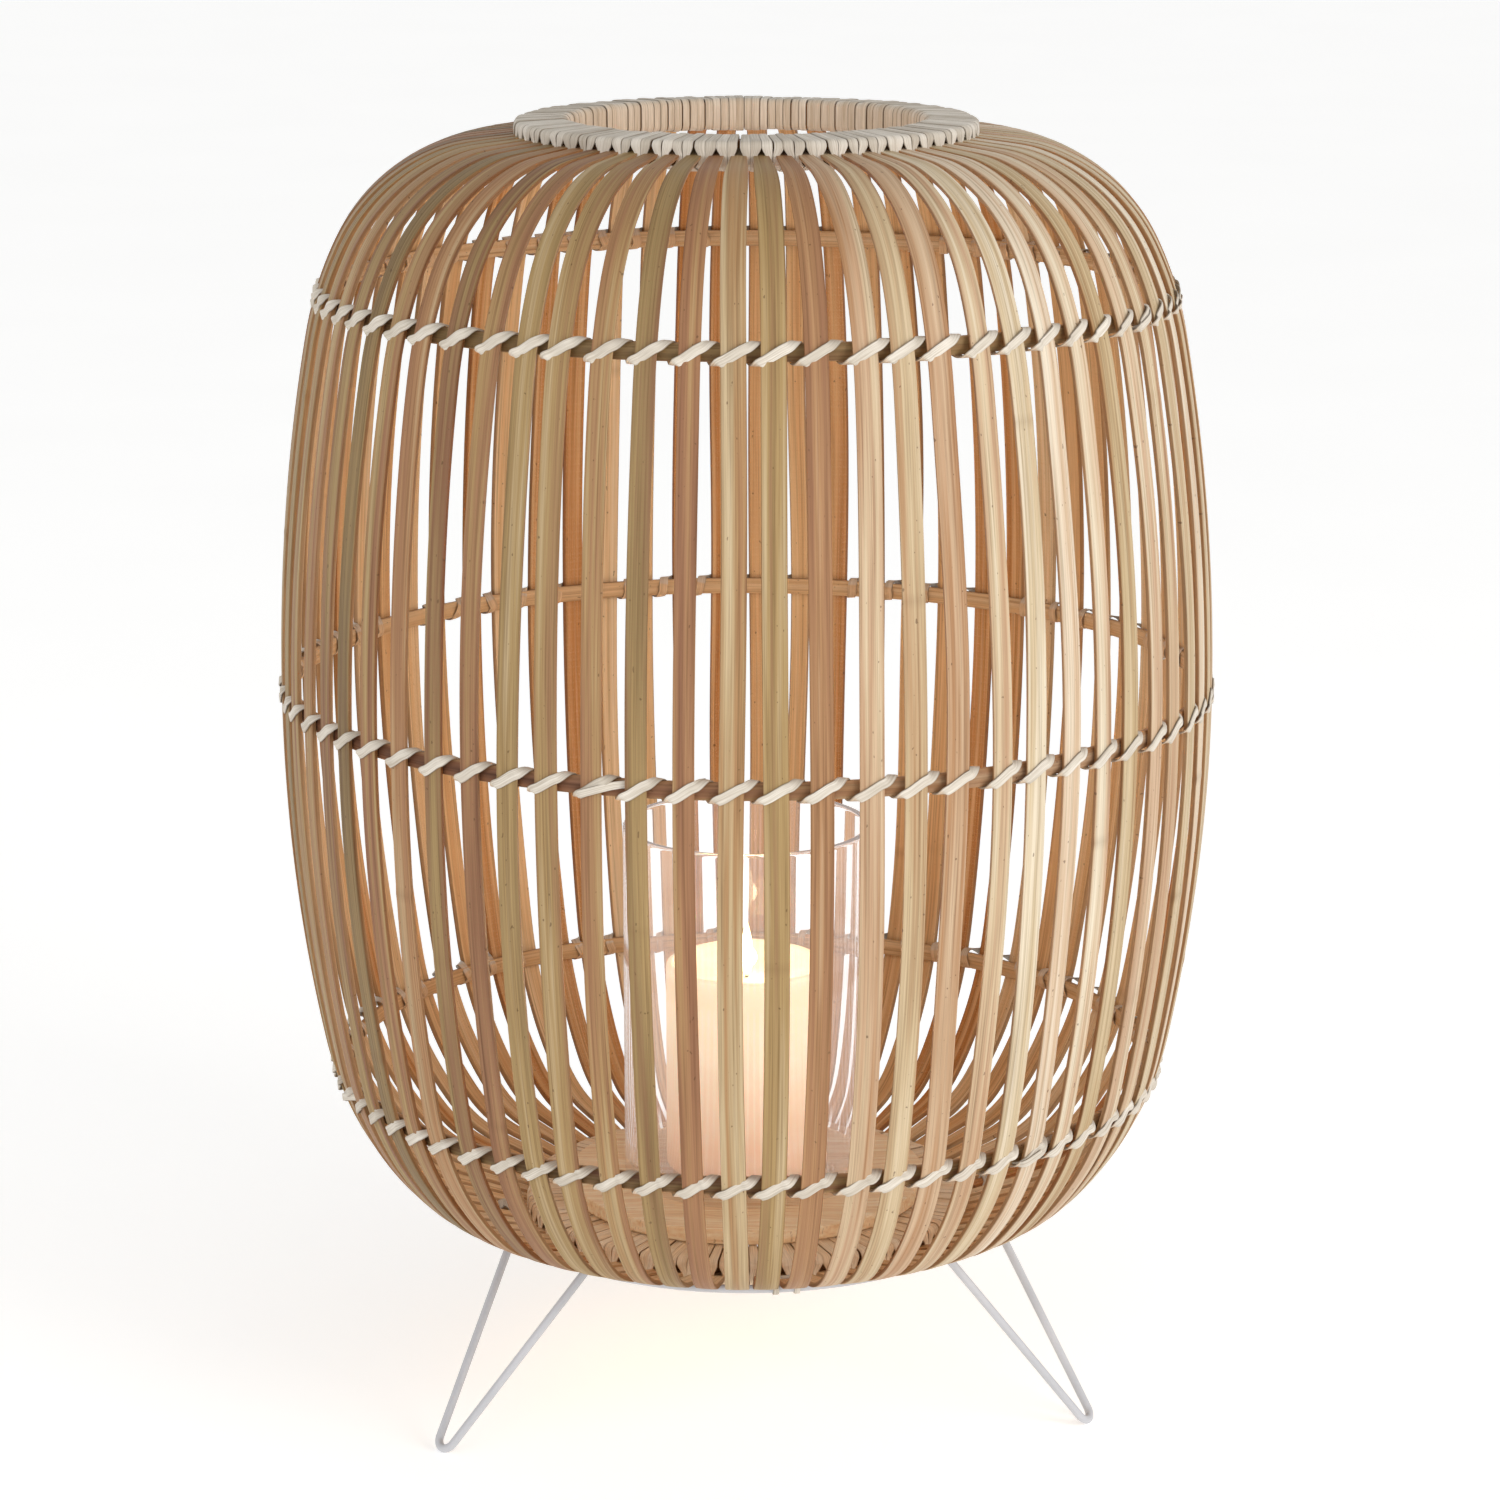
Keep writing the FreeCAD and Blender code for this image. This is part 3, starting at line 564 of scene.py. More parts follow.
def board_material():
    """Light boards with growth lines along X."""
    paint = Paint("light_board", Coat_Weight=0.1, Coat_Roughness=0.4)
    where = paint.place()
    bend = paint.noise(paint.scaled(where, (9, 30, 9)), detail=2)
    shifted = paint.add("VectorMath", p_operation="ADD", i0=paint.scaled(where, (12, 1, 12)),
                        i1=paint.scaled(paint.add("CombineXYZ", Y=bend).outputs[0], (0, 0.03, 0))).outputs[0]
    lines = paint.noise(paint.scaled(shifted, (1, 420, 30)), detail=4, roughness=0.6)
    body = paint.ramp(lines, (0.28, "E2B484"), (0.45, "F2D0A2"), (0.65, "FAE4C0"))
    pores = paint.noise(paint.scaled(where, (120, 2600, 300)), detail=2)
    body = paint.blend(paint.spread(pores, 0.62, 0.72, 0.0, 0.5), body, "8A5B35")
    paint.drive("Base Color", body)
    paint.drive("Roughness", paint.spread(lines, 0.3, 0.7, 0.55, 0.4))
    paint.bump(pores, 0.25, 0.2 * MM)
    return paint.material


def wire_material():
    """White powder coat with a faint orange-peel surface."""
    paint = Paint("white_powder_coat", roughness=0.42)
    where = paint.place()
    peel = paint.noise(where, scale=1500, detail=2)
    patch = paint.noise(where, scale=26, detail=2)
    paint.drive("Base Color", paint.ramp(patch, (0.3, "B2B3B7"), (0.6, "C0C0C4"), (0.8, "C9C8CA")))
    paint.drive("Roughness", paint.spread(peel, 0.3, 0.7, 0.36, 0.5))
    paint.bump(peel, 0.2, 0.1 * MM)
    return paint.material


def glass_material():
    """Clear glass that lamps shine through. Its foot, marked in the mesh, refracts less."""
    # The glass gives off a faint pinkish light of its own: painted light, which lightens its dark edges.
    paint = Paint("clear_glass", roughness=0.02, Transmission_Weight=1.0, IOR=1.45,
                  Base_Color=(0.985, 0.966, 0.962, 1), Emission_Color="F6E6DF", Emission_Strength=0.06)
    where = paint.place()
    ripple = paint.noise(paint.scaled(where, (1, 1, 0.2)), scale=30, detail=1)
    paint.drive("Roughness", paint.spread(ripple, 0.3, 0.7, 0.01, 0.025))
    paint.bump(ripple, 0.05, 0.6 * MM)
    clear = paint.add("BsdfTransparent", Color=(0.95, 0.94, 0.94, 1))
    rays = paint.add("LightPath").outputs["Is Shadow Ray"]
    foot = paint.add("SeparateColor", Color=paint.attribute("look").outputs["Color"]).outputs[2]
    out = paint.tree.nodes["Material Output"]
    both = paint.add("MixShader", Fac=paint.math("MAXIMUM", rays, foot))
    paint.tree.links.new(paint.shader.outputs[0], both.inputs[1])
    paint.tree.links.new(clear.outputs[0], both.inputs[2])
    paint.tree.links.new(both.outputs[0], out.inputs["Surface"])
    return paint.material


def wax_material(flame):
    """Cream wax, brighter and warmer near the flame that shines into it."""
    paint = Paint("cream_wax", roughness=0.42, Subsurface_Weight=0.3, Subsurface_Scale=0.02)
    where = paint.place()
    cloud = paint.noise(where, scale=42, detail=3)
    away = paint.add("VectorMath", p_operation="DISTANCE", i0=where, i1=flame).outputs["Value"]
    glow = paint.spread(away, 0.03, 0.13, 1.0, 0.0)
    # Painted light and shade: the wax's colour is lighter near the flame and darker away from it, and its
    # emission makes it glow near the flame.
    near = paint.ramp(cloud, (0.3, "F6E0BC"), (0.7, "FBEBD0"))
    far = paint.ramp(cloud, (0.3, "DBAC88"), (0.7, "E4BC9C"))
    paint.drive("Base Color", paint.blend(glow, far, near))
    paint.drive("Emission Color", paint.ramp(glow, (0.0, "E8985C"), (0.35, "F8C288"), (0.75, "FFEFC6")))
    paint.drive("Emission Strength", paint.math("MULTIPLY", glow, 0.36))
    pits = paint.noise(where, scale=260, detail=3)
    paint.drive("Roughness", paint.spread(pits, 0.3, 0.7, 0.36, 0.5))
    paint.bump(pits, 0.15, 0.3 * MM)
    return paint.material


def wick_material(tip):
    """Charred cotton with an ember at its tip."""
    paint = Paint("charred_cotton", roughness=0.9, Emission_Color="FF6A1E")
    where = paint.place()
    ply = paint.add("TexWave", Vector=where, Scale=240.0, Distortion=2.0).outputs["Fac"]
    paint.drive("Base Color", paint.ramp(ply, (0.2, "1A1310"), (0.8, "3E2A1C")))
    away = paint.add("VectorMath", p_operation="DISTANCE", i0=where, i1=tip).outputs["Value"]
    paint.drive("Emission Strength", paint.spread(away, 0.0, 0.003, 4.0, 0.0))
    paint.bump(ply, 0.6, 0.2 * MM)
    return paint.material


def flame_material(base, tall):
    """A candle flame: gold at its foot, nearly white in its body and amber at its tip."""
    paint = Paint("candle_flame", roughness=1.0, Base_Color=(0, 0, 0, 1))
    where = paint.place()
    up = paint.add("SeparateXYZ", Vector=where).outputs[2]
    climb = paint.spread(up, base, base + tall)
    flicker = paint.noise(where, scale=160, detail=1)
    climb = paint.math("ADD", climb, paint.spread(flicker, 0.3, 0.7, -0.03, 0.03))
    paint.drive("Emission Color", paint.ramp(climb, (0.0, "FFD890"), (0.15, "FFF3C8"),
                                             (0.7, "FFF6D6"), (1.0, "FFD070")))
    paint.drive("Emission Strength", paint.spread(climb, 0.0, 0.2, 1.5, 5.0))
    return paint.material


def floor_material():
    """A white floor that gives off a little light of its own, which softens the shadows."""
    paint = Paint("studio_floor", roughness=0.85, Emission_Color=(1, 1, 1, 1), Emission_Strength=0.32)
    where = paint.place()
    cloud = paint.noise(where, scale=3, detail=2)
    paint.drive("Base Color", paint.ramp(cloud, (0.3, "FAFAF9"), (0.7, "FCFCFB")))
    return paint.material


# ------------------------------------------------------------ the cage

# The azimuth towards which the cage is painted lighter: painted light from the key light's side.
PAINTED_LIGHT_SIDE = math.radians(-15)
SLAT_STRAY = 1.3 * MM
JOINTED_SHARE = 0.45


def painted_light_share(angle):
    """Painted light: how much lighter the cage is painted at an azimuth, from 0 to 1, most on the front
    right, where the key light falls.
    """
    return (0.5 + 0.5 * math.cos(angle - PAINTED_LIGHT_SIDE)) ** 1.8


def slat_offsets(chance):
    """What sets each slat apart: where it stands, how wide it is, its tone, its waves and its joints."""
    slats = []
    for index in range(SLAT_COUNT):
        angle = FIRST_SLAT + index * SLAT_PITCH
        # A slat's tone is its own random tone plus painted light, lighter on the side where the key light
        # falls.
        slats.append({
            "angle": angle,
            "shift": chance.uniform(-1.0, 1.0) * SLAT_STRAY,
            "width": chance.uniform(0.92, 1.13),
            "tone": mix(0.13, 0.64, painted_light_share(angle)) + 0.32 * chance.random(),
            "wave": chance.uniform(0.3, 1.0) * MM,
            "phase": chance.uniform(0, 2 * math.pi),
            "period": chance.uniform(0.22, 0.5),
            "twist": chance.uniform(-3.5, 3.5),
            "seed": chance.uniform(0, 40),
            "joints": [chance.uniform(0.12, 0.88)] if chance.random() < JOINTED_SHARE else [],
        })
    return slats


def slat_shift(slat, along):
    """How far a slat strays sideways at a length along it. It keeps its place at both rings."""
    held = smoothstep(min(along, SLAT_LENGTH - along) / SHIFT_HELD_RUN)
    return held * (slat["shift"] + slat["wave"] * math.sin(2 * math.pi * along / slat["period"]
                                                          + slat["phase"]))


def slat_width(slat, radius):
    """How wide a slat is at a radius. Its ends taper towards the rings."""
    full = smoothstep((radius - SLAT_END_RADIUS) / SLAT_TAPER_RUN)
    return mix(SLAT_END_WIDTH, SLAT_WIDTH * slat["width"], full)


SHIFT_HELD_RUN = 140 * MM
TWIST_HELD_RUN = 100 * MM
TWIST_PERIOD = 370 * MM
JOINT_RUN = 1.8 * MM
JOINT_SWELL = 0.25 * MM

# Section of a slat as (share of half the width, share of half the thickness, skin, edge),
# anticlockwise seen from the slat's upper end. It is split along the cane's radii, so its inner
# face is narrower, and its corners are bevelled.
# The edge value marks where painted shade goes.
SLAT_SECTION = ((0.88, -0.75, 0, 1), (1, 0.72, 0.6, 1), (0.95, 1, 1, 0.2), (0.45, 1.1, 1, 0),
                (-0.45, 1.1, 1, 0), (-0.95, 1, 1, 0.2), (-1, 0.72, 0.6, 1), (-0.88, -0.75, 0, 1),
                (-0.82, -1, 0, 0), (0, -1, 0, 0), (0.82, -1, 0, 0))


def add_slat(build, slat):
    """One bent slat, which strays and twists a little and swells at its joints."""
    rings = []
    for radius, height, lean, along in PROFILE:
        swell = sum(math.exp(-((along - joint * SLAT_LENGTH) / JOINT_RUN) ** 2) for joint in slat["joints"])
        half = slat_width(slat, radius) / 2
        shaved = near_top_ring(radius) if height > WIDEST_LEVEL else 0.0
        half_thick = HALF_SLAT * mix(1, SHAVED_SHARE, shaved)
        angle = slat["angle"] + slat_shift(slat, along) / radius
        outward = radial(angle) * math.cos(lean) + Vector((0, 0, math.sin(lean)))
        across = Vector((-math.sin(angle), math.cos(angle), 0))
        held = smoothstep(min(along, SLAT_LENGTH - along) / TWIST_HELD_RUN)
        sway = math.sin(2 * math.pi * along / TWIST_PERIOD + slat["phase"])
        turn = math.radians(slat["twist"]) * held * sway
        across, outward = (across * math.cos(turn) + outward * math.sin(turn),
                           outward * math.cos(turn) - across * math.sin(turn))
        centre = on_circle(radius, angle, height)
        ring = []
        for side, depth, skin, edge in SLAT_SECTION:
            thick = half_thick + (JOINT_SWELL * swell if depth > 0 else 0)
            ring.append((centre + across * side * half + outward * depth * thick,
                         (side * half, along, slat["seed"]), (slat["tone"], skin, swell, edge)))
        rings.append(ring)
    build.loft(rings)


def make_slats(slats, material):
    """The slats, in the bundles that the CAD has."""
    for bundle in range(SLAT_COUNT // SLATS_PER_NODE):
        build = Build()
        for slat in slats[bundle * SLATS_PER_NODE:(bundle + 1) * SLATS_PER_NODE]:
            add_slat(build, slat)
        node = "slats_%02d" % (bundle + 1)
        build.piece("bamboo_" + node, material, LANTERN, [node])


HOOP_HEIGHT = 8 * MM
HOOP_THICKNESS = 3 * MM
HOOP_SEGMENTS = 240
HOOP_DRIFT = 0.25 * MM
LAP_HALF_ANGLE = 0.1
LAP_DEPTH = 1 * MM

# Section of a hoop as (share of half the height, share of half the thickness, skin).
HOOP_SECTION = ((0.8, 1, 1), (1, 0.6, 0.6), (1, -0.7, 0), (0.8, -1, 0), (-0.8, -1, 0),
                (-1, -0.7, 0), (-1, 0.6, 0.6), (-0.8, 1, 1))


def make_hoop(name, material, chance):
    """A split bamboo hoop whose ends are shaved and lapped."""
    build = Build()
    middle = level("hoop_" + name)
    radius = reach("hoop_" + name) - HOOP_THICKNESS / 2 - 0.2 * MM
    lap = chance.uniform(0, 2 * math.pi)
    rings = []
    half_height, half_depth = HOOP_HEIGHT / 2, HOOP_THICKNESS / 2
    for index in range(HOOP_SEGMENTS):
        angle = 2 * math.pi * index / HOOP_SEGMENTS
        near_lap = math.exp(-(math.remainder(angle - lap, 2 * math.pi) / LAP_HALF_ANGLE) ** 2)
        drift = HOOP_DRIFT * math.sin(3 * angle + lap)
        ring = []
        # The hoop's tone is painted light, lighter on the key light's side, and its edge value darkens it
        # with painted shade, most on its top and bottom faces.
        for up, depth, skin in HOOP_SECTION:
            inward = near_lap * LAP_DEPTH if depth < 0 else 0.0
            ring.append((on_circle(radius + depth * half_depth - inward, angle,
                                   middle + up * half_height + drift),
                         (up * half_height, radius * angle, lap),
                         (mix(0.12, 0.62, painted_light_share(angle)), skin, 0.0, abs(up) * 0.5)))
        rings.append(ring)
    build.loft(rings, loop=True)
    build.piece("bamboo_hoop_" + name, material, LANTERN, ["hoop_" + name])


STRIP_WIDTH = 4.7 * MM
STRIP_THICKNESS = 0.7 * MM


def slat_middle(slat, height):
    """Azimuth of a slat at a height, with its own stray."""
    for radius, level_here, _, along in PROFILE:
        if level_here >= height:
            return slat["angle"] + slat_shift(slat, along) / radius
    return slat["angle"]


def lashing_turn(slat, after, middle, inner):
    """Stations of one turn: across the slat, over the hoop, down behind it and out under it."""
    front = slat_radius(middle)
    half = SLAT_WIDTH * slat["width"] / 2
    here = slat_middle(slat, middle)
    there = here + math.remainder(slat_middle(after, middle) - here, 2 * math.pi)
    after_half = SLAT_WIDTH * after["width"] / 2
    rise = HOOP_HEIGHT / 2
    between = (front + inner) / 2

    def outside(height):
        return slat_radius(height) + HALF_SLAT + 0.45 * MM

    def spot(radius, angle, height, normal):
        return on_circle(radius, angle, height), normal

    up, down = Vector((0, 0, 1)), Vector((0, 0, -1))
    low, high = middle - 0.8 * rise, middle + 0.8 * rise
    back = mix(here, there, 0.5)
    return [
        spot(between, here - (half + 2.6 * MM) / front, middle - rise - 0.6 * MM, down),
        spot(outside(low) - 0.1 * MM, here - (half + 0.7 * MM) / front, low,
             radial(here) * 0.95 + down * 0.2),
        spot(outside(middle), here - half * 0.6 / front, middle - 0.5 * rise, radial(here)),
        spot(outside(middle), here, middle, radial(here)),
        spot(outside(middle), here + half * 0.6 / front, middle + 0.5 * rise, radial(here)),
        spot(outside(high) - 0.1 * MM, here + (half + 0.7 * MM) / front, high,
             radial(here) * 0.95 + up * 0.2),
        spot(between, here + (half + 4.6 * MM) / front, middle + rise + 0.7 * MM, up),
        spot(inner - 0.5 * MM, back + 0.6 * MM / front, middle + 0.4 * rise, -radial(back)),
        spot(inner - 0.5 * MM, there - (after_half + 4.2 * MM) / front, middle - 0.5 * rise, -radial(there)),
    ]


# 1 where a station of a turn lies behind the hoop, inside the cage, where the strip takes painted candle
# light.
BEHIND_HOOP = (0.4, 0, 0, 0, 0, 0, 0.4, 1, 1)


def make_lashing(name, slats, material, chance):
    """One long rattan strip round a hoop, with a turn for every slat, and a few cut ends."""
    middle = level("hoop_" + name)
    inner = reach("hoop_" + name) - HOOP_THICKNESS - 0.3 * MM
    points, normals = [], []
    for index, slat in enumerate(slats):
        for point, normal in lashing_turn(slat, slats[(index + 1) % SLAT_COUNT], middle, inner):
            points.append(point)
            normals.append(normal)
    steps = 4
    path = through(points, True, steps)
    ways = through(normals, True, steps)
    sway = [1 + 0.14 * noise.noise(point * 60) for point in path]
    marks = [BEHIND_HOOP[index // steps % len(BEHIND_HOOP)] for index in range(len(path))]
    build = Build()
    strip(build, list(zip(path, ways)), STRIP_WIDTH, STRIP_THICKNESS, chance.uniform(0, 9), 0.6, True,
          sway, marks)
    for start in JOINS[name]:
        add_join(build, slats[start], slats[(start + 1) % SLAT_COUNT], middle, inner, chance)
        add_cut_end(build, slats[(start + 2) % SLAT_COUNT], middle, inner, chance)
    build.piece("rattan_lashing_" + name, material, LANTERN, ["lashing_" + name])


# Slats where one length of rattan ends and the next begins, on each hoop.
JOINS = {"upper": (12, 44), "middle": (65, 21, 40), "lower": (8, 31, 55)}


def add_join(build, slat, after, middle, inner, chance):
    """The start of a new length: over a turn, along the hoop's front and in beside the next slat."""
    front = slat_radius(middle) + HALF_SLAT
    here = slat_middle(slat, middle)
    there = here + math.remainder(slat_middle(after, middle) - here, 2 * math.pi)
    half = SLAT_WIDTH / 2 / front
    proud = front + 1.5 * MM
    stops = ((inner, here - half * 1.5, -4.5), (proud - 1 * MM, here - half * 1.15, -3.2),
             (proud, here, -1.2), (proud - 0.3 * MM, here + half, 0.4),
             (front - 0.6 * MM, mix(here, there, 0.5), 1.6), (inner + 3.6 * MM, there - half * 0.9, 2.2),
             (inner + 3.2 * MM, there, 2.4))
    points = [on_circle(radius, angle, middle + rise * MM) for radius, angle, rise in stops]
    path = through(points, False, 5)
    strip(build, [(point, radial(math.atan2(point.y, point.x))) for point in path], 3.6 * MM, 0.6 * MM,
          chance.uniform(0, 9), 0.7)


def add_cut_end(build, slat, middle, inner, chance):
    """A cut end of strip, tucked behind the hoop beside a slat."""
    angle = slat["angle"] + SLAT_PITCH * chance.uniform(0.35, 0.65)
    lean = chance.uniform(-1.5, 1.5) * MM
    normal = -radial(angle)
    points = [on_circle(inner - 1.4 * MM, angle + lean / inner * share, middle + height * MM)
              for share, height in ((0, 4.6), (0.5, 1.5), (1, -1.5), (1.6, -chance.uniform(4.2, 5.5)))]
    path = through(points, False, 4)
    strip(build, [(point, normal) for point in path], 2.6 * MM, 0.6 * MM, chance.uniform(0, 9),
          chance.uniform(0.3, 0.7))


# ------------------------------------------------------------ the wrapped rings

WRAP_RISE = 0.75 * MM
TOOTH_HALF = 2.7 * MM
SLOT_FADE = 4.4 * MM
DRAW_IN = 1.2 * MM
FACE_FALL = 1.2 * MM
WRAP_STEP = 1.3 * MM


def ring_section(node, side, bevel):
    """Outline of a ring's wrapping as (radius, height, corner radius), and its slats' level there.

    side is 1 for the top ring, whose outer face is its upper one.
    """
    low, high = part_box(node)
    outer = high.z - WRAP_RISE if side == 1 else low.z + WRAP_RISE
    inner = low.z + WRAP_RISE if side == 1 else high.z - WRAP_RISE
    fall = FACE_FALL * side
    leans = UPPER_LEANS if side == 1 else LOWER_LEANS
    end = PROFILE[-1] if side == 1 else PROFILE[0]
    slat_level = end[1] - side * (RING_RADIUS - end[0]) / math.tan(math.radians(leans[2]))
    near, far = MOUTH_RADIUS + WRAP_RISE, RING_RADIUS - WRAP_RISE - DRAW_IN
    tip = min(outer - fall - 8 * MM, slat_level - 3 * MM) if side == 1 else inner
    lip = 3 * MM if side == 1 else 1.2 * MM
    corners = [(near, inner, lip), (near, outer, 3 * MM), (far, outer - fall, 2.4 * MM)]
    if side == 1:
        corners += [(far, tip, 1.2 * MM), (far - bevel, inner, 3 * MM)]
    else:
        corners += [(far, inner, 2.6 * MM)]
    return corners, slat_level


def make_ring_wrap(name, node, side, bevel, material, slats, chance):
    """Rattan strips wound round a ring, two for every gap between slats."""
    corners, slat_level = ring_section(node, side, bevel)
    outline = rounded_outline(corners[::-1] if side == 1 else corners, WRAP_STEP)
    core = (MOUTH_RADIUS + RING_RADIUS) / 2
    if sum(nx * (x - core) for x, _, nx, _ in outline) < 0:
        outline = [(x, y, -nx, -ny) for x, y, nx, ny in outline]
    build = Build()
    gate = Vector((RING_RADIUS, slat_level))
    for slat in slats:
        for half in (-1, 1):
            add_wrap_strip(build, outline, gate, slat["angle"] + SLAT_PITCH / 2, half, chance)
    build.piece(name, material, LANTERN, [node])


def add_wrap_strip(build, outline, gate, middle, half, chance):
    """One turn of strip round a ring. It narrows to a tooth at the gate, between two slats."""
    stray = chance.uniform(-0.05, 0.05) * SLAT_PITCH
    slack = chance.uniform(0.93, 1.02)
    lift = chance.uniform(-0.45, 0.3) * MM
    tone = chance.uniform(0.4, 0.85)
    seed = chance.uniform(0, 30)
    rings = []
    along = 0.0
    for spot, (radius, height, nx, ny) in enumerate(outline):
        if spot:
            along += math.hypot(radius - outline[spot - 1][0], height - outline[spot - 1][1])
        away = max(0.0, (Vector((radius, height)) - gate).length - HALF_SLAT)
        pinch = smoothstep(1 - away / SLOT_FADE)
        shut_half = TOOTH_HALF / 2 / radius
        offset = half * mix(SLAT_PITCH / 4, shut_half, pinch) + stray * (1 - pinch)
        reach_half = mix(SLAT_PITCH / 4 * slack, shut_half, pinch)
        ring = []
        # Faces turned in towards the axis take the mark, and with it the painted candle-light colour.
        for share, depth in STRIP_SECTION:
            rise = (depth - 0.4) * WRAP_RISE + lift * (1 - pinch)
            ring.append((on_circle(radius + nx * rise, middle + offset + share * reach_half,
                                   height + ny * rise),
                         (share * reach_half * radius, along, seed),
                         (tone, 1.0, 0.4 * smoothstep(-nx), abs(share))))
        rings.append(ring)
    build.loft(rings, loop=True)


# ------------------------------------------------------------ the stand

LEG_SPLAY = 59 * MM
LEG_HALF_SPREAD = math.radians(15)
LEG_BEND = 6 * MM
ARM_STEPS = 12
BEND_STEPS = 16
RING_STEPS = 180
WELD_SIDES = 14
WELD_RISE = 0.45 * MM
LEGS = (("left", -143.5), ("right", -23.5), ("back", 96.5))


def make_stand(material):
    """The wire ring under the cage and its three hairpin legs."""
    ring = Build()
    wire(ring, [on_circle(STAND_RING_RADIUS, 2 * math.pi * step / RING_STEPS, STAND_LEVEL)
                for step in range(RING_STEPS)], WIRE_RADIUS, loop=True)
    ring.piece("wire_ring", material, LANTERN, ["stand_ring"])
    for name, azimuth in LEGS:
        leg = Build()
        wire(leg, leg_path(math.radians(azimuth)), WIRE_RADIUS)
        for side in (-1, 1):
            add_weld(leg, math.radians(azimuth) + side * LEG_HALF_SPREAD)
        leg.piece("wire_leg_" + name, material, LANTERN, ["leg_" + name])


def leg_path(azimuth):
    """From one arm's weld on the ring, down round the foot's bend and up to the other weld."""
    foot = on_circle(STAND_RING_RADIUS + LEG_SPLAY, azimuth, WIRE_RADIUS)
    top = on_circle(STAND_RING_RADIUS * math.cos(LEG_HALF_SPREAD), azimuth, STAND_LEVEL)
    up = (top - foot).normalized()
    across = Vector((-math.sin(azimuth), math.cos(azimuth), 0))
    half_chord = STAND_RING_RADIUS * math.sin(LEG_HALF_SPREAD)
    tall = (top - foot).length
    lean = (math.asin(LEG_BEND / math.hypot(half_chord, tall - LEG_BEND))
            + math.atan(half_chord / (tall - LEG_BEND)))
    start = Vector((LEG_BEND * math.cos(lean), LEG_BEND - LEG_BEND * math.sin(lean)))
    end = Vector((half_chord, tall))
    arms = []
    for side in (-1, 1):
        spots = [start.lerp(end, step / ARM_STEPS) for step in range(ARM_STEPS + 1)]
        arms.append([foot + across * side * spot.x + up * spot.y for spot in spots])
    bend = []
    for step in range(1, BEND_STEPS):
        turn = -math.pi + lean + (math.pi - 2 * lean) * step / BEND_STEPS
        bend.append(foot + across * LEG_BEND * math.cos(turn) + up * (LEG_BEND + LEG_BEND * math.sin(turn)))
    return arms[0][::-1] + bend + arms[1]


def add_weld(build, angle):
    """A small collar of weld where an arm meets the ring."""
    centre = on_circle(STAND_RING_RADIUS, angle, STAND_LEVEL)
    along = Vector((-math.sin(angle), math.cos(angle), 0))
    path = [centre + along * step * 0.8 * MM for step in range(-3, 4)]
    rings = []
    for index, point in enumerate(path):
        radius = WIRE_RADIUS + WELD_RISE * math.cos((index - 3) / 3 * math.pi / 2) + 0.03 * MM
        ring = []
        for side in range(WELD_SIDES):
            turn = 2 * math.pi * side / WELD_SIDES
            way = radial(angle) * math.cos(turn) + Vector((0, 0, 1)) * math.sin(turn)
            ring.append((point + way * radius, (0.0, 0.0, 0.0), PLAIN_LOOK))
        rings.append(ring[::-1])
    build.loft(rings)


TIE_STEP = 17
TIE_FIRST = 2
TIE_HALF = 5 * MM
TIE_STRIP = 2.9 * MM
TIE_THICKNESS = 0.6 * MM


def make_ties(slats, material, chance):
    """Rattan ties that loop over a slat and under the wire ring."""
    build = Build()
    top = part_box("ring_ties")[1].z - 1.6 * MM
    low = STAND_LEVEL - WIRE_RADIUS - 0.5 * MM
    out = WIRE_RADIUS + 0.5 * MM
    for tie in range(SLAT_COUNT // TIE_STEP):
        angle = slats[TIE_FIRST + tie * TIE_STEP]["angle"]
        across = Vector((-math.sin(angle), math.cos(angle), 0))
        way = radial(angle)
        centre = on_circle(STAND_RING_RADIUS, angle, 0)
        corners = [(-1, 0, low, 0, -1), (-1, 1, STAND_LEVEL, 1, 0), (-1, 0.8, top - 2 * MM, 1, 0.3),
                   (-0.7, 0.35, top, 0.2, 1), (0.7, 0.35, top, 0.2, 1), (1, 0.8, top - 2 * MM, 1, 0.3),
                   (1, 1, STAND_LEVEL, 1, 0), (1, 0, low, 0, -1), (1, -1, STAND_LEVEL, -1, 0),
                   (1, -0.8, top - 1 * MM, -1, 0.3), (0.7, -0.35, top, -0.2, 1), (-0.7, -0.35, top, -0.2, 1),
                   (-1, -0.8, top - 1 * MM, -1, 0.3), (-1, -1, STAND_LEVEL, -1, 0)]
        points = [centre + across * side * TIE_HALF + way * depth * out + Vector((0, 0, height))
                  for side, depth, height, _, _ in corners]
        normals = [way * nx + Vector((0, 0, nz)) for _, _, _, nx, nz in corners]
        stations = list(zip(through(points, True, 4), through(normals, True, 4)))
        strip(build, stations, TIE_STRIP, TIE_THICKNESS,
              chance.uniform(0, 9), chance.uniform(0.4, 0.6), True)
    build.piece("rattan_ring_ties", material, LANTERN, ["ring_ties"])


# ------------------------------------------------------------ the glass and the candle

GLASS_WALL = 3 * MM
GLASS_BASE = 5 * MM


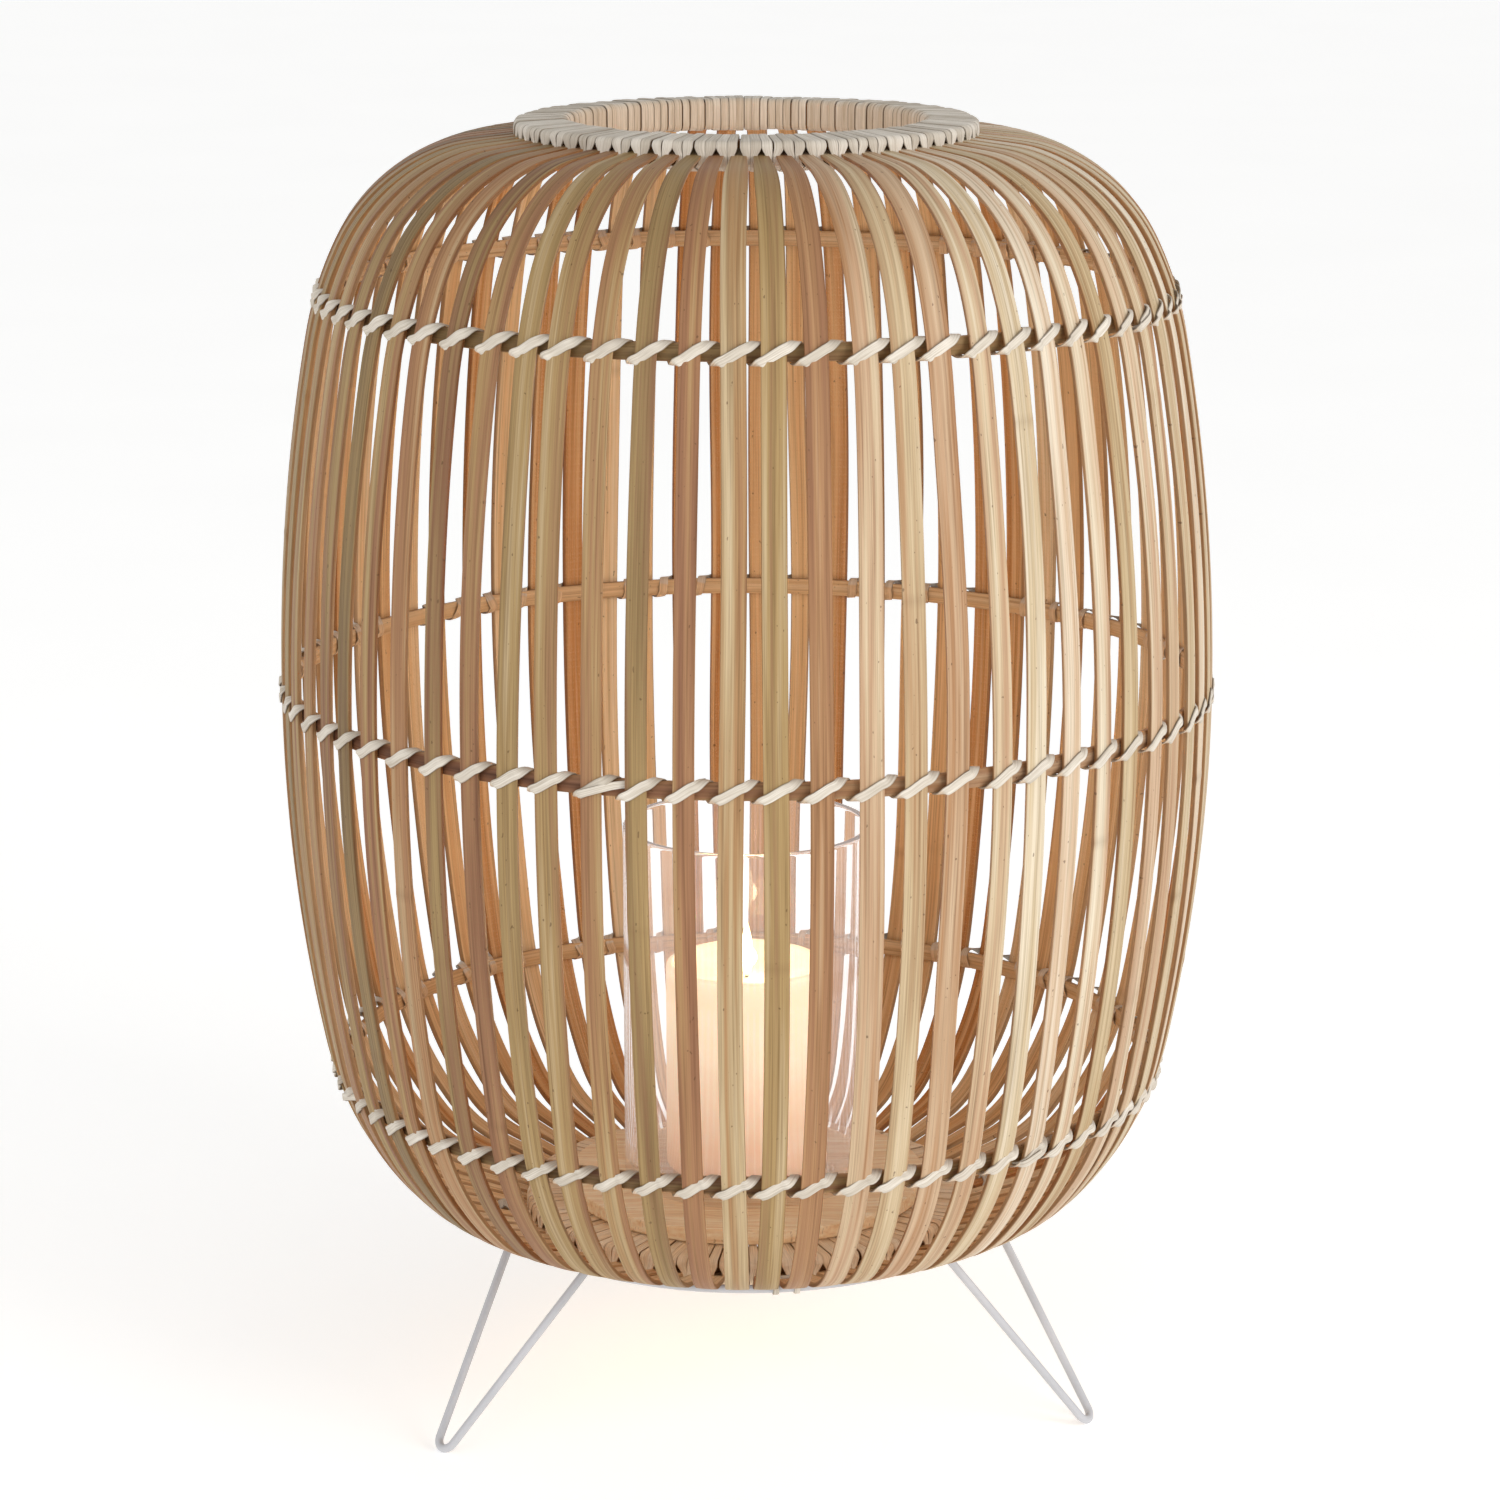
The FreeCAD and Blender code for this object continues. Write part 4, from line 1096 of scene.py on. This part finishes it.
def make_glass(material):
    """A straight glass cylinder with a thick base and a fire-polished rim."""
    low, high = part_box("glass_cylinder")
    radius = (high.x - low.x) / 2
    wall, base = GLASS_WALL, GLASS_BASE
    inside = radius - wall
    bottom, top = low.z, high.z
    outline = [(0, bottom + 0.6 * MM), (radius - 8 * MM, bottom + 0.6 * MM), (radius - 4 * MM, bottom)]
    outline += arc_points(radius - 3 * MM, bottom + 3 * MM, 3 * MM, -90, 0, 8)
    outline += [(radius, height) for height in wall_levels(bottom + 3 * MM, top - wall / 2)]
    outline += arc_points(radius - wall / 2, top - wall / 2, wall / 2, 0, 180, 10)
    outline += [(inside, height) for height in wall_levels(top - wall / 2, bottom + base + 4 * MM)]
    outline += arc_points(inside - 4 * MM, bottom + base + 4 * MM, 4 * MM, 0, -90, 8)
    outline += [(inside * 0.4, bottom + base), (0, bottom + base)]
    build = Build()
    turned_solid(build, outline, 160)
    build.look = [(0.5, 1.0, smoothstep((bottom + 2 * base - point.z) / base), 0.0) for point in build.points]
    piece = build.piece("hurricane_glass", material, GLASS, ["glass_cylinder"], sharp=70)
    return piece


def wall_levels(start, end):
    """Levels up or down a straight wall, closer together at its ends to hold its shading flat."""
    return [mix(start, end, share) for share in (0.004, 0.02, 0.1, 0.3, 0.5, 0.7, 0.9, 0.98, 0.996)]


def arc_points(x, y, radius, start, end, steps):
    """Points (x, y) of an arc between two angles in degrees."""
    return [(x + radius * math.cos(math.radians(mix(start, end, step / steps))),
             y + radius * math.sin(math.radians(mix(start, end, step / steps))))
            for step in range(steps + 1)]


POOL_DEPTH = 11.5 * MM
WICK_RADIUS = 0.85 * MM
FLAME_HEIGHT = 29 * MM
FLAME_RADIUS = 3.1 * MM
FLAME_STEPS = 30


def make_candle(flame):
    """A pillar candle whose rim has slumped a little round its melted pool."""
    low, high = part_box("candle")
    radius = (high.x - low.x) / 2 - 0.1 * MM
    bottom, top = low.z, high.z - 2.9 * MM
    pool = high.z - POOL_DEPTH

    def slump(r, height, angle):
        if height < pool - 20 * MM:
            return 0.0
        weight = smoothstep((height - pool) / POOL_DEPTH) if r < radius - 7 * MM else 1.0
        wave = 0.8 * noise.noise(Vector((math.cos(angle), math.sin(angle), 0)) * 1.7)
        return weight * wave * MM if height > pool + 0.5 * MM else 0.0

    outline = [(0, bottom), (radius - 2 * MM, bottom)]
    outline += arc_points(radius - 1.5 * MM, bottom + 1.5 * MM, 1.5 * MM, -80, 0, 5)
    outline += [(radius + 0.1 * MM * math.sin(share * 2.1), mix(bottom, top, share / 16))
                for share in range(1, 16)]
    outline += arc_points(radius - 2.4 * MM, top - 2.4 * MM, 2.4 * MM, 0, 100, 9)
    outline += [(radius - 5 * MM, top - 1.4 * MM), (radius - 7 * MM, mix(top, pool, 0.5)),
                (radius - 9.5 * MM, pool + 1.6 * MM), (radius - 12.5 * MM, pool + 0.25 * MM),
                (radius - 17 * MM, pool), (radius * 0.3, pool - 0.2 * MM), (2.5 * MM, pool + 0.3 * MM),
                (0, pool + 0.6 * MM)]
    build = Build()
    turned_solid(build, outline, 120, slump)
    build.piece("pillar_candle", wax_material(flame), CANDLE, ["candle"], sharp=60)


def make_wick_and_flame():
    """The wick, leaning a little, and the flame round it. Returns the middle of the flame."""
    low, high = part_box("wick")
    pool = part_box("candle")[1].z - POOL_DEPTH
    lean = 0.9 * MM
    points = [Vector((0, 0, low.z)), Vector((0, 0, pool)), Vector((0.1 * MM, 0, pool + 3 * MM)),
              Vector((0.5 * MM, 0, pool + 6 * MM)), Vector((lean, -0.3 * MM, high.z - 0.3 * MM))]
    build = Build()
    wire(build, through(points, False, 5), WICK_RADIUS, sides=12)
    tip = tuple(points[-1])
    build.piece("cotton_wick", wick_material(tip), CANDLE, ["wick"])

    flame_low = pool + 0.6 * MM
    outline = []
    for step in range(FLAME_STEPS + 1):
        climb = step / FLAME_STEPS
        width = FLAME_RADIUS * math.sin(math.pi * climb ** 0.7) ** 0.8 if 0 < climb < 1 else 0.0
        outline.append((width, flame_low + FLAME_HEIGHT * climb))
    flame = Build()
    turned_solid(flame, outline, 40)
    piece = flame.piece("candle_flame", flame_material(flame_low, FLAME_HEIGHT), CANDLE, sharp=80)
    return (0, 0, flame_low + FLAME_HEIGHT * 0.35)


# ------------------------------------------------------------ the studio

CAMERA_X = 1.6 * MM
CAMERA_DISTANCE = 2.02
CAMERA_HEIGHT = 0.819
CAMERA_PITCH = math.radians(13.95)
CAMERA_LENS = 103.66
SENSOR = 36
FLOOR_SIZE = 60
FLOOR_DROP = 0.2 * MM
CAGE_MIDDLE = (0, 0, 0.33)
CANDLE_POWER = 0.33


def make_camera():
    """The camera, where the photo was taken from."""
    camera = bpy.data.cameras.new("camera")
    camera.lens = CAMERA_LENS
    camera.sensor_width = SENSOR
    camera.clip_start = 0.05
    eye = bpy.data.objects.new("camera", camera)
    eye.location = (CAMERA_X, -CAMERA_DISTANCE, CAMERA_HEIGHT)
    eye.rotation_euler = (math.pi / 2 - CAMERA_PITCH, 0, 0)
    bpy.context.scene.collection.objects.link(eye)
    bpy.context.scene.camera = eye


def area_light(name, place, target, size, power, colour):
    """A square soft light aimed at a target."""
    light = bpy.data.lights.new(name, "AREA")
    light.size = size
    light.energy = power
    light.color = colour
    lamp = bpy.data.objects.new(name, light)
    lamp.location = place
    lamp.rotation_euler = (Vector(target) - Vector(place)).to_track_quat("-Z", "Y").to_euler()
    bpy.context.scene.collection.objects.link(lamp)


def make_sky():
    """A white surround that is dimmer overhead."""
    world = bpy.data.worlds.new("studio")
    world.use_nodes = True
    nodes, links = world.node_tree.nodes, world.node_tree.links
    nodes["Background"].inputs["Color"].default_value = (1, 1, 1, 1)
    where = nodes.new("ShaderNodeTexCoord")
    parts = nodes.new("ShaderNodeSeparateXYZ")
    dim = nodes.new("ShaderNodeMapRange")
    for socket, value in (("From Min", 0.1), ("From Max", 0.9), ("To Min", 1.0), ("To Max", 0.5)):
        dim.inputs[socket].default_value = value
    links.new(where.outputs["Generated"], parts.inputs[0])
    links.new(parts.outputs["Z"], dim.inputs["Value"])
    links.new(dim.outputs[0], nodes["Background"].inputs["Strength"])
    return world


def make_studio(flame):
    """The floor, the surround, two soft lights and the small warm lamp in the flame."""
    bpy.context.scene.view_settings.view_transform = "Standard"
    bpy.context.scene.world = make_sky()
    bpy.ops.mesh.primitive_plane_add(size=FLOOR_SIZE, location=(0, 0, -FLOOR_DROP))
    floor = bpy.context.object
    floor.name = "studio_floor"
    floor.data.materials.append(floor_material())
    area_light("key", (1.6, -1.35, 1.0), CAGE_MIDDLE, 1.1, 20, (1, 0.98, 0.96))
    area_light("fill", (-1.2, -1.8, 0.7), CAGE_MIDDLE, 1.4, 10, (1, 1, 1))
    glow = bpy.data.lights.new("candle_light", "POINT")
    glow.energy = CANDLE_POWER
    glow.color = (1, 0.72, 0.45)
    glow.shadow_soft_size = 5 * MM
    lamp = bpy.data.objects.new("candle_light", glow)
    lamp.location = flame
    bpy.context.scene.collection.objects.link(lamp)


# ------------------------------------------------------------ the lantern

def dress_cad_nodes(materials):
    """Gives the CAD nodes that stay in view their materials."""
    for node, material in materials.items():
        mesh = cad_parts[node].data
        mesh.materials.clear()
        mesh.materials.append(material)


chance = random.Random(68)
bamboo = bamboo_material()
# The pale rattan's fourth colour is painted shade in the gaps at strip edges, and its last is painted candle
# light for lengths inside the cage.
pale_rattan = rattan_material("pale_rattan", "B0A596", "C9C0B2", "E4DDD2", "6A5D4D", "D9B48A")
# The bottom ring's rattan is painted lighter and warmer than the top ring's: painted candle light, as the
# ring lies inside the cage. Its gap and last colours are painted shade and painted candle light, as on the
# pale rattan.
warm_rattan = rattan_material("warm_rattan", "E6C096", "F5D8B2", "FBE9CE", "94683E", "EACAA0")
make_camera()
slats = slat_offsets(chance)
make_slats(slats, bamboo)
for hoop in HOOPS:
    make_hoop(hoop, bamboo, chance)
    make_lashing(hoop, slats, pale_rattan, chance)
make_ring_wrap("rattan_top_ring", "top_ring_wrap", 1, 12 * MM, pale_rattan, slats, chance)
make_ring_wrap("rattan_bottom_ring", "bottom_ring_wrap", -1, 2 * MM, warm_rattan, slats, chance)
make_stand(wire_material())
make_ties(slats, pale_rattan, chance)
make_glass(glass_material())
flame_place = make_wick_and_flame()
make_candle(flame_place)
dress_cad_nodes({"base_board": board_material(), "top_ring_core": bamboo, "bottom_ring_core": bamboo})
make_studio(flame_place)
